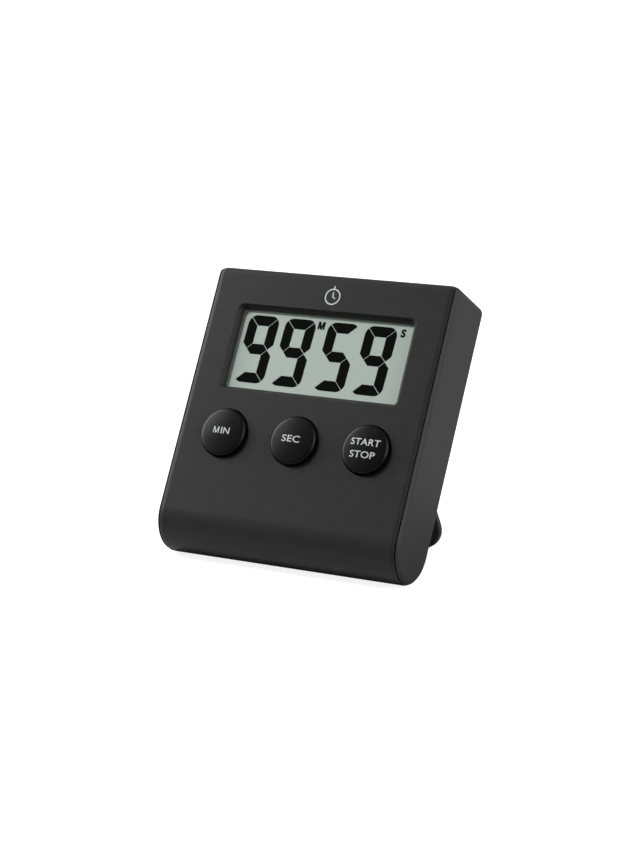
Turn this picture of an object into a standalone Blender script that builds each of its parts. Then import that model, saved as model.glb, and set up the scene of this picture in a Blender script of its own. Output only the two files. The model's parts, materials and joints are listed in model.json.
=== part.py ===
"""Digital kitchen timer: a leaning case on a fold-out stand, with its display, buttons and insides.

World frame: metres, +X to the right seen from the front, +Y to the back, +Z up, origin on the ground under
the middle of the object's box. The case is modelled upright in its own frame and leaned back by one empty:
there X runs across the front face, Y from the front face to the back, and Z up along the face from the
bottom end of the case.
"""

import math

import bmesh
import bpy
from mathutils import Vector

# Case
CASE_WIDTH = 0.0700
CASE_LENGTH = 0.0760
CASE_THICKNESS = 0.0188
LEAN_ANGLE = math.radians(28.7)
FRONT_TOP_RADIUS = 0.0020
BACK_TOP_RADIUS = 0.0022
SIDE_EDGE_RADIUS = 0.0013
FRONT_WALL = 0.0017
SHELL_WALL = 0.0018
CHEEK_LIP = 0.0005
COVER_LIP_DEPTH = 0.0030
FIT_GAP = 0.0003
SEAT_GAP = 0.00015

# Display
WINDOW_WIDTH = 0.0520
WINDOW_HEIGHT = 0.02355
WINDOW_TOP_MARGIN = 0.0100
WINDOW_CORNER = 0.0012
WINDOW_TAPER = 0.0008
GLASS_BORDER = 0.0020
CONTACT_LEDGE = 0.0026
FILM_THICKNESS = 0.0002
GLASS_THICKNESS = 0.0020
HOLDER_WALL = 0.0010
ZEBRA_WIDTH = 0.0016
ZEBRA_HEIGHT = 0.0022

# Buttons
BUTTON_ROW_HEIGHT = 0.0305
BUTTON_SPACING = 0.0206
BUTTON_DIAMETER = 0.0128
BUTTON_PROUD = 0.00185
BUTTON_CROWN = 0.00035
BUTTON_EDGE_RADIUS = 0.0005
BUTTON_SIDE_GAP = 0.00025
BUTTON_FLANGE = 0.0009
FLANGE_THICKNESS = 0.0008
STEM_DIAMETER = 0.0055
BUTTON_TRAVEL = 0.0010
KEYPAD_THICKNESS = 0.0008
DOME_DIAMETER = 0.0095
DOME_TOP_DIAMETER = 0.0065
DOME_WALL = 0.0006
PILL_DIAMETER = 0.0034
PILL_THICKNESS = 0.0005

# Circuit board
BOARD_THICKNESS = 0.0012
BOARD_SIDE_GAP = 0.0005
BOARD_BELOW_BUTTONS = 0.0085
BOARD_ABOVE_ZEBRA = 0.0070
BOARD_SCREW_INSET = 0.0019
BOARD_SCREW_DIAMETER = 0.0015
BOARD_POST_DIAMETER = 0.0036
SCREW_CLEARANCE = 0.0004
BOARD_HEAD = 0.0029
BOARD_HEAD_HEIGHT = 0.0010
CHIP_DIAMETER = 0.0110
CHIP_HEIGHT = 0.0014
CRYSTAL_DIAMETER = 0.0020
CRYSTAL_LENGTH = 0.0060
CAPACITOR_DIAMETER = 0.0040
CAPACITOR_HEIGHT = 0.0050
RESISTOR_SIZE = (0.0020, 0.0006, 0.00125)
TRANSISTOR_SIZE = (0.0029, 0.0010, 0.0016)
COIL_DIAMETER = 0.0034
COIL_HEIGHT = 0.0040

# Case screws
CASE_SCREW_DIAMETER = 0.0020
CASE_POST_DIAMETER = 0.0045
CASE_SCREW_INSET_X = 0.0050
CASE_SCREW_INSET_TOP = 0.0050
LOW_SCREW_SPACING = 0.0440
LOW_SCREW_HEIGHT = 0.0165
SCREW_HEAD_DEPTH = 0.0016
BOSS_WALL = 0.0014
CASE_HEAD = 0.0036
CASE_HEAD_HEIGHT = 0.0012
CASE_SCREW_LENGTH = 0.0080

# Stand
STAND_WIDTH = 0.0606
STAND_THICKNESS = 0.0018
STAND_ANGLE = math.radians(59.6)
STAND_HINGE_HEIGHT = 0.0285
STAND_CORNER_RADIUS = 0.0110
STAND_PIN_DIAMETER = 0.0014
STAND_PIN_LENGTH = 0.0012
STAND_STOP_GAP = 0.00012
RECESS_WALL = 0.0015

# Battery, door and contacts
CELL_DIAMETER = 0.0105
CELL_LENGTH = 0.0445
NUB_LENGTH = 0.0008
NUB_DIAMETER = 0.0042
BATTERY_HEIGHT = 0.0605
WELL_WALL = 0.0010
CONTACT_SHEET = 0.0004
TAB_HALF = 0.0015
TAB_LENGTH = 0.0022
CONTACT_HALF = 0.0040
SPRING_LENGTH = 0.0036
SPRING_WIRE = 0.0005
SPRING_TURNS = 3.5
DOOR_THICKNESS = 0.0015
DOOR_OVERLAP = 0.0016
DOOR_PIN_DIAMETER = 0.0009
DOOR_PIN_LENGTH = 0.0011
DOOR_NOTCH = 0.0120

# Sounder and magnets
BUZZER_DIAMETER = 0.0200
BUZZER_SHEET = 0.0002
CERAMIC_DIAMETER = 0.0140
BUZZER_RING_HEIGHT = 0.0014
BUZZER_RING_WALL = 0.0010
BUZZER_ABOVE_HINGE = 0.0135
SOUND_HOLE_DIAMETER = 0.0014
SOUND_HOLE_CIRCLE = 0.0037
SOUND_HOLE_COUNT = 6
MAGNET_DIAMETER = 0.0120
MAGNET_THICKNESS = 0.0020
MAGNET_SPACING = 0.0460

LEAD_RADIUS = 0.0004
ROUND_SEGMENTS = 24
SMALL_SEGMENTS = 12
NOSE_SEGMENTS = 16
CORNER_SEGMENTS = 3
CUT_OVERRUN = 0.0020

# Places that follow from the sizes above
NOSE_RADIUS = CASE_THICKNESS / 2
CAVITY_HALF = CASE_WIDTH / 2 - SHELL_WALL
COVER_HALF = CASE_WIDTH / 2 - CHEEK_LIP - FIT_GAP
BACK_INSIDE = CASE_THICKNESS - SHELL_WALL

WINDOW_TOP = CASE_LENGTH - WINDOW_TOP_MARGIN
POLARIZER_FRONT = FRONT_WALL + FIT_GAP
GLASS_FRONT = POLARIZER_FRONT + FILM_THICKNESS + SEAT_GAP
GLASS_BACK = GLASS_FRONT + GLASS_THICKNESS
REFLECTOR_BACK = GLASS_BACK + SEAT_GAP + FILM_THICKNESS
GLASS_HALF = WINDOW_WIDTH / 2 - WINDOW_TAPER + GLASS_BORDER
GLASS_TOP = WINDOW_TOP - WINDOW_TAPER + GLASS_BORDER
GLASS_BOTTOM = WINDOW_TOP - WINDOW_HEIGHT + WINDOW_TAPER - CONTACT_LEDGE
ZEBRA_BOTTOM = GLASS_BOTTOM + FIT_GAP
ZEBRA_TOP = ZEBRA_BOTTOM + ZEBRA_WIDTH
ZEBRA_BACK = GLASS_BACK + SEAT_GAP + ZEBRA_HEIGHT

BOARD_FRONT = ZEBRA_BACK + SEAT_GAP
BOARD_BACK = BOARD_FRONT + BOARD_THICKNESS
PARTS_BACK = BOARD_BACK + SEAT_GAP
BOARD_HALF = CAVITY_HALF - BOARD_SIDE_GAP
BOARD_BOTTOM = BUTTON_ROW_HEIGHT - BOARD_BELOW_BUTTONS
BOARD_TOP = ZEBRA_TOP + BOARD_ABOVE_ZEBRA
BOARD_SCREWS = [
    (side * (BOARD_HALF - BOARD_SCREW_INSET), height)
    for height in (BOARD_BOTTOM + BOARD_SCREW_INSET, BOARD_TOP - BOARD_SCREW_INSET)
    for side in (-1, 1)
]

KEYPAD_BACK = BOARD_FRONT - SEAT_GAP
KEYPAD_FRONT = KEYPAD_BACK - KEYPAD_THICKNESS
PILL_BACK = BOARD_FRONT - BUTTON_TRAVEL - SEAT_GAP
PILL_FRONT = PILL_BACK - PILL_THICKNESS
DOME_CEILING = PILL_FRONT - SEAT_GAP
FLANGE_FRONT = FRONT_WALL + SEAT_GAP
FLANGE_BACK = FLANGE_FRONT + FLANGE_THICKNESS
DOME_FRONT = DOME_CEILING - 2 * DOME_WALL
BUTTON_NAMES = ("min", "sec", "start_stop")

STAND_PIVOT_Y = CASE_THICKNESS - STAND_THICKNESS / 2
RECESS_FLOOR = CASE_THICKNESS - STAND_THICKNESS - FIT_GAP
RECESS_INSIDE = RECESS_FLOOR - RECESS_WALL
RECESS_HALF = STAND_WIDTH / 2 + FIT_GAP
BULGE_HALF = min(RECESS_HALF + STAND_PIN_LENGTH + RECESS_WALL, CAVITY_HALF + SHELL_WALL / 2)
BULGE_TOP = STAND_HINGE_HEIGHT + STAND_THICKNESS / 2 + FIT_GAP + RECESS_WALL

CELL_Y = CASE_THICKNESS - DOOR_THICKNESS - 2 * SEAT_GAP - CELL_DIAMETER / 2
WELL_FLOOR = CELL_Y - CELL_DIAMETER / 2 - FIT_GAP
WELL_HALF_HEIGHT = CELL_DIAMETER / 2 + FIT_GAP
WELL_HALF = (CELL_LENGTH + SPRING_LENGTH + 2 * CONTACT_SHEET + 4 * FIT_GAP) / 2
DOOR_FRONT = CASE_THICKNESS - DOOR_THICKNESS
DOOR_HALF = WELL_HALF + DOOR_OVERLAP
DOOR_BOTTOM = BATTERY_HEIGHT - WELL_HALF_HEIGHT - DOOR_OVERLAP
DOOR_TOP = BATTERY_HEIGHT + WELL_HALF_HEIGHT + DOOR_OVERLAP
DOOR_PIVOT_Y = CASE_THICKNESS - DOOR_THICKNESS / 2
DOOR_PIVOT_Z = DOOR_BOTTOM + DOOR_THICKNESS / 2
CELL_NUB_TIP = WELL_HALF - CONTACT_SHEET - 2 * FIT_GAP
CELL_REAR = CELL_NUB_TIP - CELL_LENGTH

BUZZER_HEIGHT = STAND_HINGE_HEIGHT + BUZZER_ABOVE_HINGE
BUZZER_RING_FRONT = BACK_INSIDE - BUZZER_RING_HEIGHT
PLATE_BACK = BUZZER_RING_FRONT - SEAT_GAP
PLATE_FRONT = PLATE_BACK - BUZZER_SHEET
CERAMIC_BACK = PLATE_FRONT - SEAT_GAP
MAGNET_POCKET = CASE_THICKNESS - MAGNET_THICKNESS - SEAT_GAP

CASE_SCREW_X = CASE_WIDTH / 2 - CASE_SCREW_INSET_X
CASE_SCREWS = [
    (-CASE_SCREW_X, CASE_LENGTH - CASE_SCREW_INSET_TOP, CASE_THICKNESS),
    (CASE_SCREW_X, CASE_LENGTH - CASE_SCREW_INSET_TOP, CASE_THICKNESS),
    (-LOW_SCREW_SPACING / 2, LOW_SCREW_HEIGHT, RECESS_FLOOR),
    (LOW_SCREW_SPACING / 2, LOW_SCREW_HEIGHT, RECESS_FLOOR),
]


def clear_scene():
    for old in list(bpy.data.objects):
        bpy.data.objects.remove(old, do_unlink=True)


def material(name, color, roughness, metallic=0.0):
    made = bpy.data.materials.new(name)
    made.use_nodes = True
    shader = made.node_tree.nodes["Principled BSDF"]
    shader.inputs["Base Color"].default_value = (*color, 1.0)
    shader.inputs["Roughness"].default_value = roughness
    shader.inputs["Metallic"].default_value = metallic
    return made


def make_materials():
    return {
        "shell": material("grey_shell_plastic", (0.05, 0.05, 0.05), 0.55),
        "button": material("black_button_plastic", (0.012, 0.012, 0.012), 0.4),
        "glass": material("display_glass", (0.42, 0.48, 0.43), 0.15),
        "film": material("polarizer_film", (0.45, 0.50, 0.45), 0.3),
        "rubber": material("silicone_rubber", (0.25, 0.25, 0.26), 0.7),
        "carbon": material("carbon_rubber", (0.02, 0.02, 0.02), 0.8),
        "holder": material("white_holder_plastic", (0.8, 0.8, 0.78), 0.5),
        "board": material("circuit_board", (0.03, 0.2, 0.06), 0.5),
        "epoxy": material("black_epoxy", (0.01, 0.01, 0.01), 0.35),
        "steel": material("plated_steel", (0.6, 0.6, 0.6), 0.3, 1.0),
        "brass": material("buzzer_brass", (0.75, 0.55, 0.25), 0.35, 1.0),
        "ceramic": material("buzzer_ceramic", (0.8, 0.78, 0.7), 0.6),
        "cell": material("cell_jacket", (0.15, 0.15, 0.17), 0.35, 0.5),
        "magnet": material("magnet_nickel", (0.55, 0.54, 0.52), 0.3, 1.0),
        "red": material("red_lead", (0.5, 0.02, 0.02), 0.5),
        "black": material("black_lead", (0.02, 0.02, 0.02), 0.5),
    }


# Outlines and shapes. An outline is a list of (y, z) or (x, z) points, counter-clockwise.

def arc(center, radius, start, end, segments):
    """Points on an arc, both ends included, with angles in degrees."""
    steps = [math.radians(start + (end - start) * i / segments) for i in range(segments + 1)]
    return [(center[0] + radius * math.cos(a), center[1] + radius * math.sin(a)) for a in steps]


def inset_corner(radius, inset):
    return max(radius - inset, FIT_GAP)


def case_outline(inset=0.0):
    """Side view of the case, moved inwards by the inset: round nose below, rounded corners on top."""
    back = inset_corner(BACK_TOP_RADIUS, inset)
    front = inset_corner(FRONT_TOP_RADIUS, inset)
    top = CASE_LENGTH - inset
    nose = arc((NOSE_RADIUS, NOSE_RADIUS), NOSE_RADIUS - inset, 180, 360, NOSE_SEGMENTS)
    back_top = (CASE_THICKNESS - inset - back, top - back)
    front_top = (inset + front, top - front)
    return (
        nose
        + arc(back_top, back, 0, 90, CORNER_SEGMENTS)
        + arc(front_top, front, 90, 180, CORNER_SEGMENTS)
    )


def cover_zone(wall, gap):
    """Side view of the space of the front cover: over the top lip, down the face and round the nose."""
    corner = inset_corner(FRONT_TOP_RADIUS, wall)
    inner_top = CASE_LENGTH - wall
    inside = arc((wall + corner, inner_top - corner), corner, 90, 180, CORNER_SEGMENTS)
    nose = arc((NOSE_RADIUS, NOSE_RADIUS), NOSE_RADIUS - wall, 180, 270, NOSE_SEGMENTS // 2)
    lip = COVER_LIP_DEPTH + gap
    return (
        [(lip, CASE_LENGTH + CUT_OVERRUN), (lip, inner_top)]
        + inside
        + nose
        + [(NOSE_RADIUS + gap, wall), (NOSE_RADIUS + gap, -CUT_OVERRUN)]
        + [(-CUT_OVERRUN, -CUT_OVERRUN), (-CUT_OVERRUN, CASE_LENGTH + CUT_OVERRUN)]
    )


def rounded_rectangle(half_width, bottom, top, radius, segments=CORNER_SEGMENTS):
    corners = [
        (half_width - radius, bottom + radius, 270),
        (half_width - radius, top - radius, 0),
        (-half_width + radius, top - radius, 90),
        (-half_width + radius, bottom + radius, 180),
    ]
    points = []
    for x, z, start in corners:
        points += arc((x, z), radius, start, start + 90, segments)
    return points


def bridge(bm, rings, closed=False):
    """Skins a row of equal rings of vertices; the ends are capped unless the row closes on itself."""
    pairs = list(zip(rings, rings[1:] + rings[:1])) if closed else list(zip(rings, rings[1:]))
    for first, second in pairs:
        for i in range(len(first)):
            j = (i + 1) % len(first)
            bm.faces.new((first[i], first[j], second[j], second[i]))
    if not closed:
        bm.faces.new(rings[0])
        bm.faces.new(list(reversed(rings[-1])))


def add_prism_x(bm, outline, low, high):
    """An outline in (y, z), extruded along X."""
    bridge(bm, [[bm.verts.new((x, y, z)) for y, z in outline] for x in (low, high)])


def add_prism_y(bm, outline, low, high):
    """An outline in (x, z), extruded along Y."""
    bridge(bm, [[bm.verts.new((x, y, z)) for x, z in outline] for y in (low, high)])


def add_loft_y(bm, sections):
    """Outlines in (x, z) with equal counts of points, each at its own Y."""
    bridge(bm, [[bm.verts.new((x, y, z)) for x, z in outline] for y, outline in sections])


def add_box(bm, low, high):
    outline = [(low[0], low[2]), (high[0], low[2]), (high[0], high[2]), (low[0], high[2])]
    add_prism_y(bm, outline, low[1], high[1])


def add_disc(bm, x, z, diameter, low, high, segments=ROUND_SEGMENTS):
    """A round plate or post that stands along Y."""
    circle = arc((x, z), diameter / 2, 0, 360, segments)[:-1]
    add_prism_y(bm, circle, low, high)


def add_turned(bm, x, z, profile, segments=ROUND_SEGMENTS, closed=False):
    """A turned solid about a line along Y, from (y, radius) points; a closed profile makes a ring."""
    rings = []
    for y, radius in profile:
        circle = arc((x, z), radius, 0, 360, segments)[:-1]
        rings.append([bm.verts.new((px, y, pz)) for px, pz in circle])
    bridge(bm, rings, closed)


def finish_mesh(name, bm):
    bmesh.ops.recalc_face_normals(bm, faces=bm.faces)
    mesh = bpy.data.meshes.new(name)
    bm.to_mesh(mesh)
    bm.free()
    mesh.shade_smooth()
    mesh.set_sharp_from_angle(angle=math.radians(35))
    return mesh


def place(obj, parent, location=(0.0, 0.0, 0.0)):
    bpy.context.scene.collection.objects.link(obj)
    obj.parent = parent
    obj.location = location
    return obj


def part(name, bm, finish, parent, location=(0.0, 0.0, 0.0)):
    mesh = finish_mesh(name, bm)
    mesh.materials.append(finish)
    return place(bpy.data.objects.new(name, mesh), parent, location)


def tool(name, bm, parent, location=(0.0, 0.0, 0.0)):
    """A hidden helper for a Boolean."""
    obj = place(bpy.data.objects.new(name, finish_mesh(name, bm)), parent, location)
    obj.hide_render = True
    obj.display_type = "WIRE"
    return obj


def combine(target, other, operation):
    modifier = target.modifiers.new(f"{operation.lower()}_{other.name}", "BOOLEAN")
    modifier.operation = operation
    modifier.solver = "EXACT"
    modifier.object = other


def round_sides(obj, radius):
    """Rounds the edges round the two flat sides of an extruded outline."""
    bevel = obj.modifiers.new("side_edges", "BEVEL")
    bevel.width = radius
    bevel.segments = 2
    bevel.limit_method = "ANGLE"
    bevel.angle_limit = math.radians(60)


def soften(obj, radius):
    """A small bevel on the sharp edges of a plain piece."""
    bevel = obj.modifiers.new("small_edges", "BEVEL")
    bevel.width = radius
    bevel.segments = 1
    bevel.limit_method = "ANGLE"
    bevel.angle_limit = math.radians(60)


def empty(name, parent, location, lean=0.0):
    made = place(bpy.data.objects.new(name, None), parent, location)
    made.rotation_euler = (lean, 0.0, 0.0)
    return made


# The lean of the case, and where it stands

def leaned(y, z):
    """World (y, z) of a point of the case's own (y, z), before the case is moved onto the ground."""
    return (
        y * math.cos(LEAN_ANGLE) + z * math.sin(LEAN_ANGLE),
        z * math.cos(LEAN_ANGLE) - y * math.sin(LEAN_ANGLE),
    )


def case_origin():
    """World place of the case's own origin: the nose touches the ground, and the box is centred on Y."""
    nose_y, nose_z = leaned(NOSE_RADIUS, NOSE_RADIUS)
    corner_y, _ = leaned(CASE_THICKNESS - BACK_TOP_RADIUS, CASE_LENGTH - BACK_TOP_RADIUS)
    front = nose_y - NOSE_RADIUS
    back = corner_y + BACK_TOP_RADIUS
    return Vector((0.0, -(front + back) / 2, NOSE_RADIUS - nose_z))


def pivot_height():
    """Height of the stand's hinge above the ground."""
    return case_origin().z + leaned(STAND_PIVOT_Y, STAND_HINGE_HEIGHT)[1]


# Case shells

def case_solid():
    bm = bmesh.new()
    add_prism_x(bm, case_outline(), -CASE_WIDTH / 2, CASE_WIDTH / 2)
    return bm


def window_sections():
    """The window's tapered opening, run on past both faces of the wall."""
    slope = WINDOW_TAPER / FRONT_WALL
    sections = []
    for y in (-CUT_OVERRUN / 4, FRONT_WALL + CUT_OVERRUN / 4):
        shrink = slope * y
        low = WINDOW_TOP - WINDOW_HEIGHT + shrink
        outline = rounded_rectangle(
            WINDOW_WIDTH / 2 - shrink, low, WINDOW_TOP - shrink, WINDOW_CORNER
        )
        sections.append((y, outline))
    return sections


def make_front_cover(finish, frame):
    cover = part("front_cover", case_solid(), finish, frame)
    round_sides(cover, SIDE_EDGE_RADIUS)

    zone = bmesh.new()
    add_prism_x(zone, cover_zone(FRONT_WALL, 0.0), -COVER_HALF, COVER_HALF)
    combine(cover, tool("cover_zone", zone, frame), "INTERSECT")

    posts = bmesh.new()
    for x, z in BOARD_SCREWS:
        end = BOARD_FRONT - SEAT_GAP
        add_disc(posts, x, z, BOARD_POST_DIAMETER, FRONT_WALL / 2, end, SMALL_SEGMENTS)
    for x, z, seat in CASE_SCREWS:
        end = seat - SCREW_HEAD_DEPTH - BOSS_WALL - FIT_GAP
        add_disc(posts, x, z, CASE_POST_DIAMETER, FRONT_WALL / 2, end, SMALL_SEGMENTS)
    combine(cover, tool("cover_posts", posts, frame), "UNION")

    openings = bmesh.new()
    add_loft_y(openings, window_sections())
    for index in (-1, 0, 1):
        hole = BUTTON_DIAMETER + 2 * BUTTON_SIDE_GAP
        x = index * BUTTON_SPACING
        add_disc(openings, x, BUTTON_ROW_HEIGHT, hole, -CUT_OVERRUN, FRONT_WALL + CUT_OVERRUN / 4)
    for x, z in BOARD_SCREWS:
        bore = BOARD_SCREW_DIAMETER + SCREW_CLEARANCE
        add_disc(openings, x, z, bore, FRONT_WALL, BOARD_BACK, SMALL_SEGMENTS)
    for x, z, seat in CASE_SCREWS:
        bore = CASE_SCREW_DIAMETER + SCREW_CLEARANCE
        add_disc(openings, x, z, bore, FRONT_WALL, seat, SMALL_SEGMENTS)
    combine(cover, tool("cover_openings", openings, frame), "DIFFERENCE")


def recess_outline():
    """Side view of the stand's recess. Its top is a lip that the opened stand leans on."""
    pivot = (STAND_PIVOT_Y, STAND_HINGE_HEIGHT)
    half = STAND_THICKNESS / 2
    swing = half + FIT_GAP
    reach = half + STAND_STOP_GAP
    along = (math.sin(STAND_ANGLE), -math.cos(STAND_ANGLE))
    across = (math.cos(STAND_ANGLE), math.sin(STAND_ANGLE))
    overrun = CUT_OVERRUN / along[0]
    foot = (pivot[0] + across[0] * reach, pivot[1] + across[1] * reach)
    inner = math.sqrt(swing * swing - reach * reach)
    lip_inside = (foot[0] - along[0] * inner, foot[1] - along[1] * inner)
    lip_outside = (foot[0] + along[0] * overrun, foot[1] + along[1] * overrun)
    start = math.degrees(math.atan2(lip_inside[1] - pivot[1], lip_inside[0] - pivot[0]))
    return (
        [lip_outside]
        + arc(pivot, swing, start, 180, 2 * CORNER_SEGMENTS)
        + [(RECESS_FLOOR, -CUT_OVERRUN), (lip_outside[0] + CUT_OVERRUN, -CUT_OVERRUN)]
        + [(lip_outside[0] + CUT_OVERRUN, lip_outside[1])]
    )


def make_rear_shell(finish, frame):
    shell = part("rear_shell", case_solid(), finish, frame)
    round_sides(shell, SIDE_EDGE_RADIUS)

    cavity = bmesh.new()
    add_prism_x(cavity, case_outline(SHELL_WALL), -CAVITY_HALF, CAVITY_HALF)
    combine(shell, tool("shell_cavity", cavity, frame), "DIFFERENCE")

    zone = bmesh.new()
    half = COVER_HALF + FIT_GAP
    add_prism_x(zone, cover_zone(FRONT_WALL + FIT_GAP, FIT_GAP), -half, half)
    combine(shell, tool("shell_front", zone, frame), "DIFFERENCE")

    skin = CASE_THICKNESS - SHELL_WALL / 2
    bulge = bmesh.new()
    add_prism_x(bulge, bulge_outline(), -BULGE_HALF, BULGE_HALF)
    combine(shell, tool("stand_bulge", bulge, frame), "UNION")

    well = bmesh.new()
    low = (-WELL_HALF - WELL_WALL, WELL_FLOOR - WELL_WALL, BATTERY_HEIGHT - WELL_HALF_HEIGHT - WELL_WALL)
    high = (WELL_HALF + WELL_WALL, skin, BATTERY_HEIGHT + WELL_HALF_HEIGHT + WELL_WALL)
    add_box(well, low, high)
    combine(shell, tool("battery_well", well, frame), "UNION")

    ledge = bmesh.new()
    reach = DOOR_HALF + DOOR_PIN_LENGTH + SHELL_WALL
    add_box(
        ledge,
        (-reach, DOOR_FRONT - FIT_GAP - WELL_WALL, DOOR_BOTTOM - SHELL_WALL),
        (reach, skin, DOOR_TOP + SHELL_WALL),
    )
    combine(shell, tool("door_ledge", ledge, frame), "UNION")

    bosses = bmesh.new()
    for x, z, seat in CASE_SCREWS:
        end = seat - SCREW_HEAD_DEPTH - BOSS_WALL
        boss = CASE_POST_DIAMETER + 2 * FIT_GAP
        add_disc(bosses, x, z, boss, end, seat - SHELL_WALL / 4, SMALL_SEGMENTS)
    for side in (-1, 1):
        boss = MAGNET_DIAMETER + 2 * SHELL_WALL
        add_disc(bosses, side * MAGNET_SPACING / 2, BUZZER_HEIGHT, boss, MAGNET_POCKET - WELL_WALL, skin)
    combine(shell, tool("shell_bosses", bosses, frame), "UNION")

    ring = bmesh.new()
    outside = BUZZER_DIAMETER / 2
    inside = outside - BUZZER_RING_WALL
    loop = [(BUZZER_RING_FRONT, inside), (BUZZER_RING_FRONT, outside), (skin, outside), (skin, inside)]
    add_turned(ring, 0.0, BUZZER_HEIGHT, loop, closed=True)
    combine(shell, tool("buzzer_ring", ring, frame), "UNION")

    recess = bmesh.new()
    add_prism_x(recess, recess_outline(), -RECESS_HALF, RECESS_HALF)
    combine(shell, tool("stand_recess", recess, frame), "DIFFERENCE")

    pockets = bmesh.new()
    low = (-WELL_HALF, WELL_FLOOR, BATTERY_HEIGHT - WELL_HALF_HEIGHT)
    high = (WELL_HALF, CASE_THICKNESS + CUT_OVERRUN, BATTERY_HEIGHT + WELL_HALF_HEIGHT)
    add_box(pockets, low, high)
    for side in (-1, 1):
        add_disc(
            pockets,
            side * MAGNET_SPACING / 2,
            BUZZER_HEIGHT,
            MAGNET_DIAMETER + 2 * SEAT_GAP,
            MAGNET_POCKET,
            CASE_THICKNESS + CUT_OVERRUN,
        )
    for x, z in sound_holes():
        ends = (BACK_INSIDE - CUT_OVERRUN, CASE_THICKNESS + CUT_OVERRUN)
        add_disc(pockets, x, z, SOUND_HOLE_DIAMETER, *ends, SMALL_SEGMENTS)
    for x, z, seat in CASE_SCREWS:
        head = CASE_POST_DIAMETER - FIT_GAP
        end = CASE_THICKNESS + CUT_OVERRUN
        bore = CASE_SCREW_DIAMETER + SCREW_CLEARANCE
        profile = [
            (seat - SCREW_HEAD_DEPTH - 2 * BOSS_WALL, bore / 2),
            (seat - SCREW_HEAD_DEPTH, bore / 2),
            (seat - SCREW_HEAD_DEPTH, head / 2),
            (end, head / 2),
        ]
        add_turned(pockets, x, z, profile, SMALL_SEGMENTS)
    combine(shell, tool("shell_pockets", pockets, frame), "DIFFERENCE")

    door = bmesh.new()
    add_box(
        door,
        (-DOOR_HALF - FIT_GAP, DOOR_FRONT - FIT_GAP, DOOR_BOTTOM - FIT_GAP),
        (DOOR_HALF + FIT_GAP, CASE_THICKNESS + CUT_OVERRUN, DOOR_TOP + FIT_GAP),
    )
    combine(shell, tool("door_pocket", door, frame), "DIFFERENCE")

    notch = bmesh.new()
    add_prism_x(
        notch,
        arc((CASE_THICKNESS, DOOR_TOP + FIT_GAP), DOOR_THICKNESS, 0, 360, SMALL_SEGMENTS)[:-1],
        -DOOR_NOTCH / 2,
        DOOR_NOTCH / 2,
    )
    combine(shell, tool("finger_notch", notch, frame), "DIFFERENCE")

    pin_holes = bmesh.new()
    pins = [
        (RECESS_HALF, STAND_PIN_LENGTH, STAND_PIN_DIAMETER, STAND_PIVOT_Y, STAND_HINGE_HEIGHT),
        (DOOR_HALF + FIT_GAP, DOOR_PIN_LENGTH, DOOR_PIN_DIAMETER, DOOR_PIVOT_Y, DOOR_PIVOT_Z),
    ]
    for half, length, diameter, y, z in pins:
        circle = arc((y, z), diameter / 2 + SEAT_GAP, 0, 360, SMALL_SEGMENTS)[:-1]
        for side in (-1, 1):
            ends = sorted((side * (half - FIT_GAP), side * (half + length)))
            add_prism_x(pin_holes, circle, *ends)
    combine(shell, tool("pin_holes", pin_holes, frame), "DIFFERENCE")

    slots = bmesh.new()
    for side in (-1, 1):
        x = side * (WELL_HALF - FIT_GAP)
        ends = sorted((x, x - side * (CONTACT_SHEET + 2 * FIT_GAP)))
        add_box(
            slots,
            (ends[0], CELL_Y - TAB_HALF - FIT_GAP, BATTERY_HEIGHT - WELL_HALF_HEIGHT - 2 * WELL_WALL),
            (ends[1], CELL_Y + TAB_HALF + FIT_GAP, BATTERY_HEIGHT - WELL_HALF_HEIGHT + FIT_GAP),
        )
    combine(shell, tool("contact_slots", slots, frame), "DIFFERENCE")


def bulge_outline():
    """Side view of the thickening behind the stand's recess, kept inside the outer skin."""
    deep = NOSE_RADIUS - SHELL_WALL / 2
    side = RECESS_INSIDE - NOSE_RADIUS
    start = math.degrees(math.asin(side / deep)) - 90
    curve = arc((NOSE_RADIUS, NOSE_RADIUS), deep, start, 0, CORNER_SEGMENTS)
    skin = CASE_THICKNESS - SHELL_WALL / 2
    return curve + [(skin, BULGE_TOP), (RECESS_INSIDE, BULGE_TOP)]


def sound_holes():
    circle = arc((0.0, BUZZER_HEIGHT), SOUND_HOLE_CIRCLE, 0, 360, SOUND_HOLE_COUNT)[:-1]
    return [(0.0, BUZZER_HEIGHT)] + circle


# Stand and battery door: plates with a round hinge edge and a pin at each side

def plate_outline(thickness, foot_outer, foot_inner):
    """Side view of a plate that hangs from its pivot at (0, 0), with a round hinge edge."""
    half = thickness / 2
    return [(-half, foot_inner), (half, foot_outer)] + arc((0.0, 0.0), half, 0, 180, 2 * CORNER_SEGMENTS)


def add_pins(name, target, half, length, diameter, parent):
    pins = bmesh.new()
    circle = arc((0.0, 0.0), diameter / 2, 0, 360, SMALL_SEGMENTS)[:-1]
    for side in (-1, 1):
        ends = sorted((side * (half - length), side * (half + length)))
        add_prism_x(pins, circle, *ends)
    combine(target, tool(name, pins, parent), "UNION")


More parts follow.
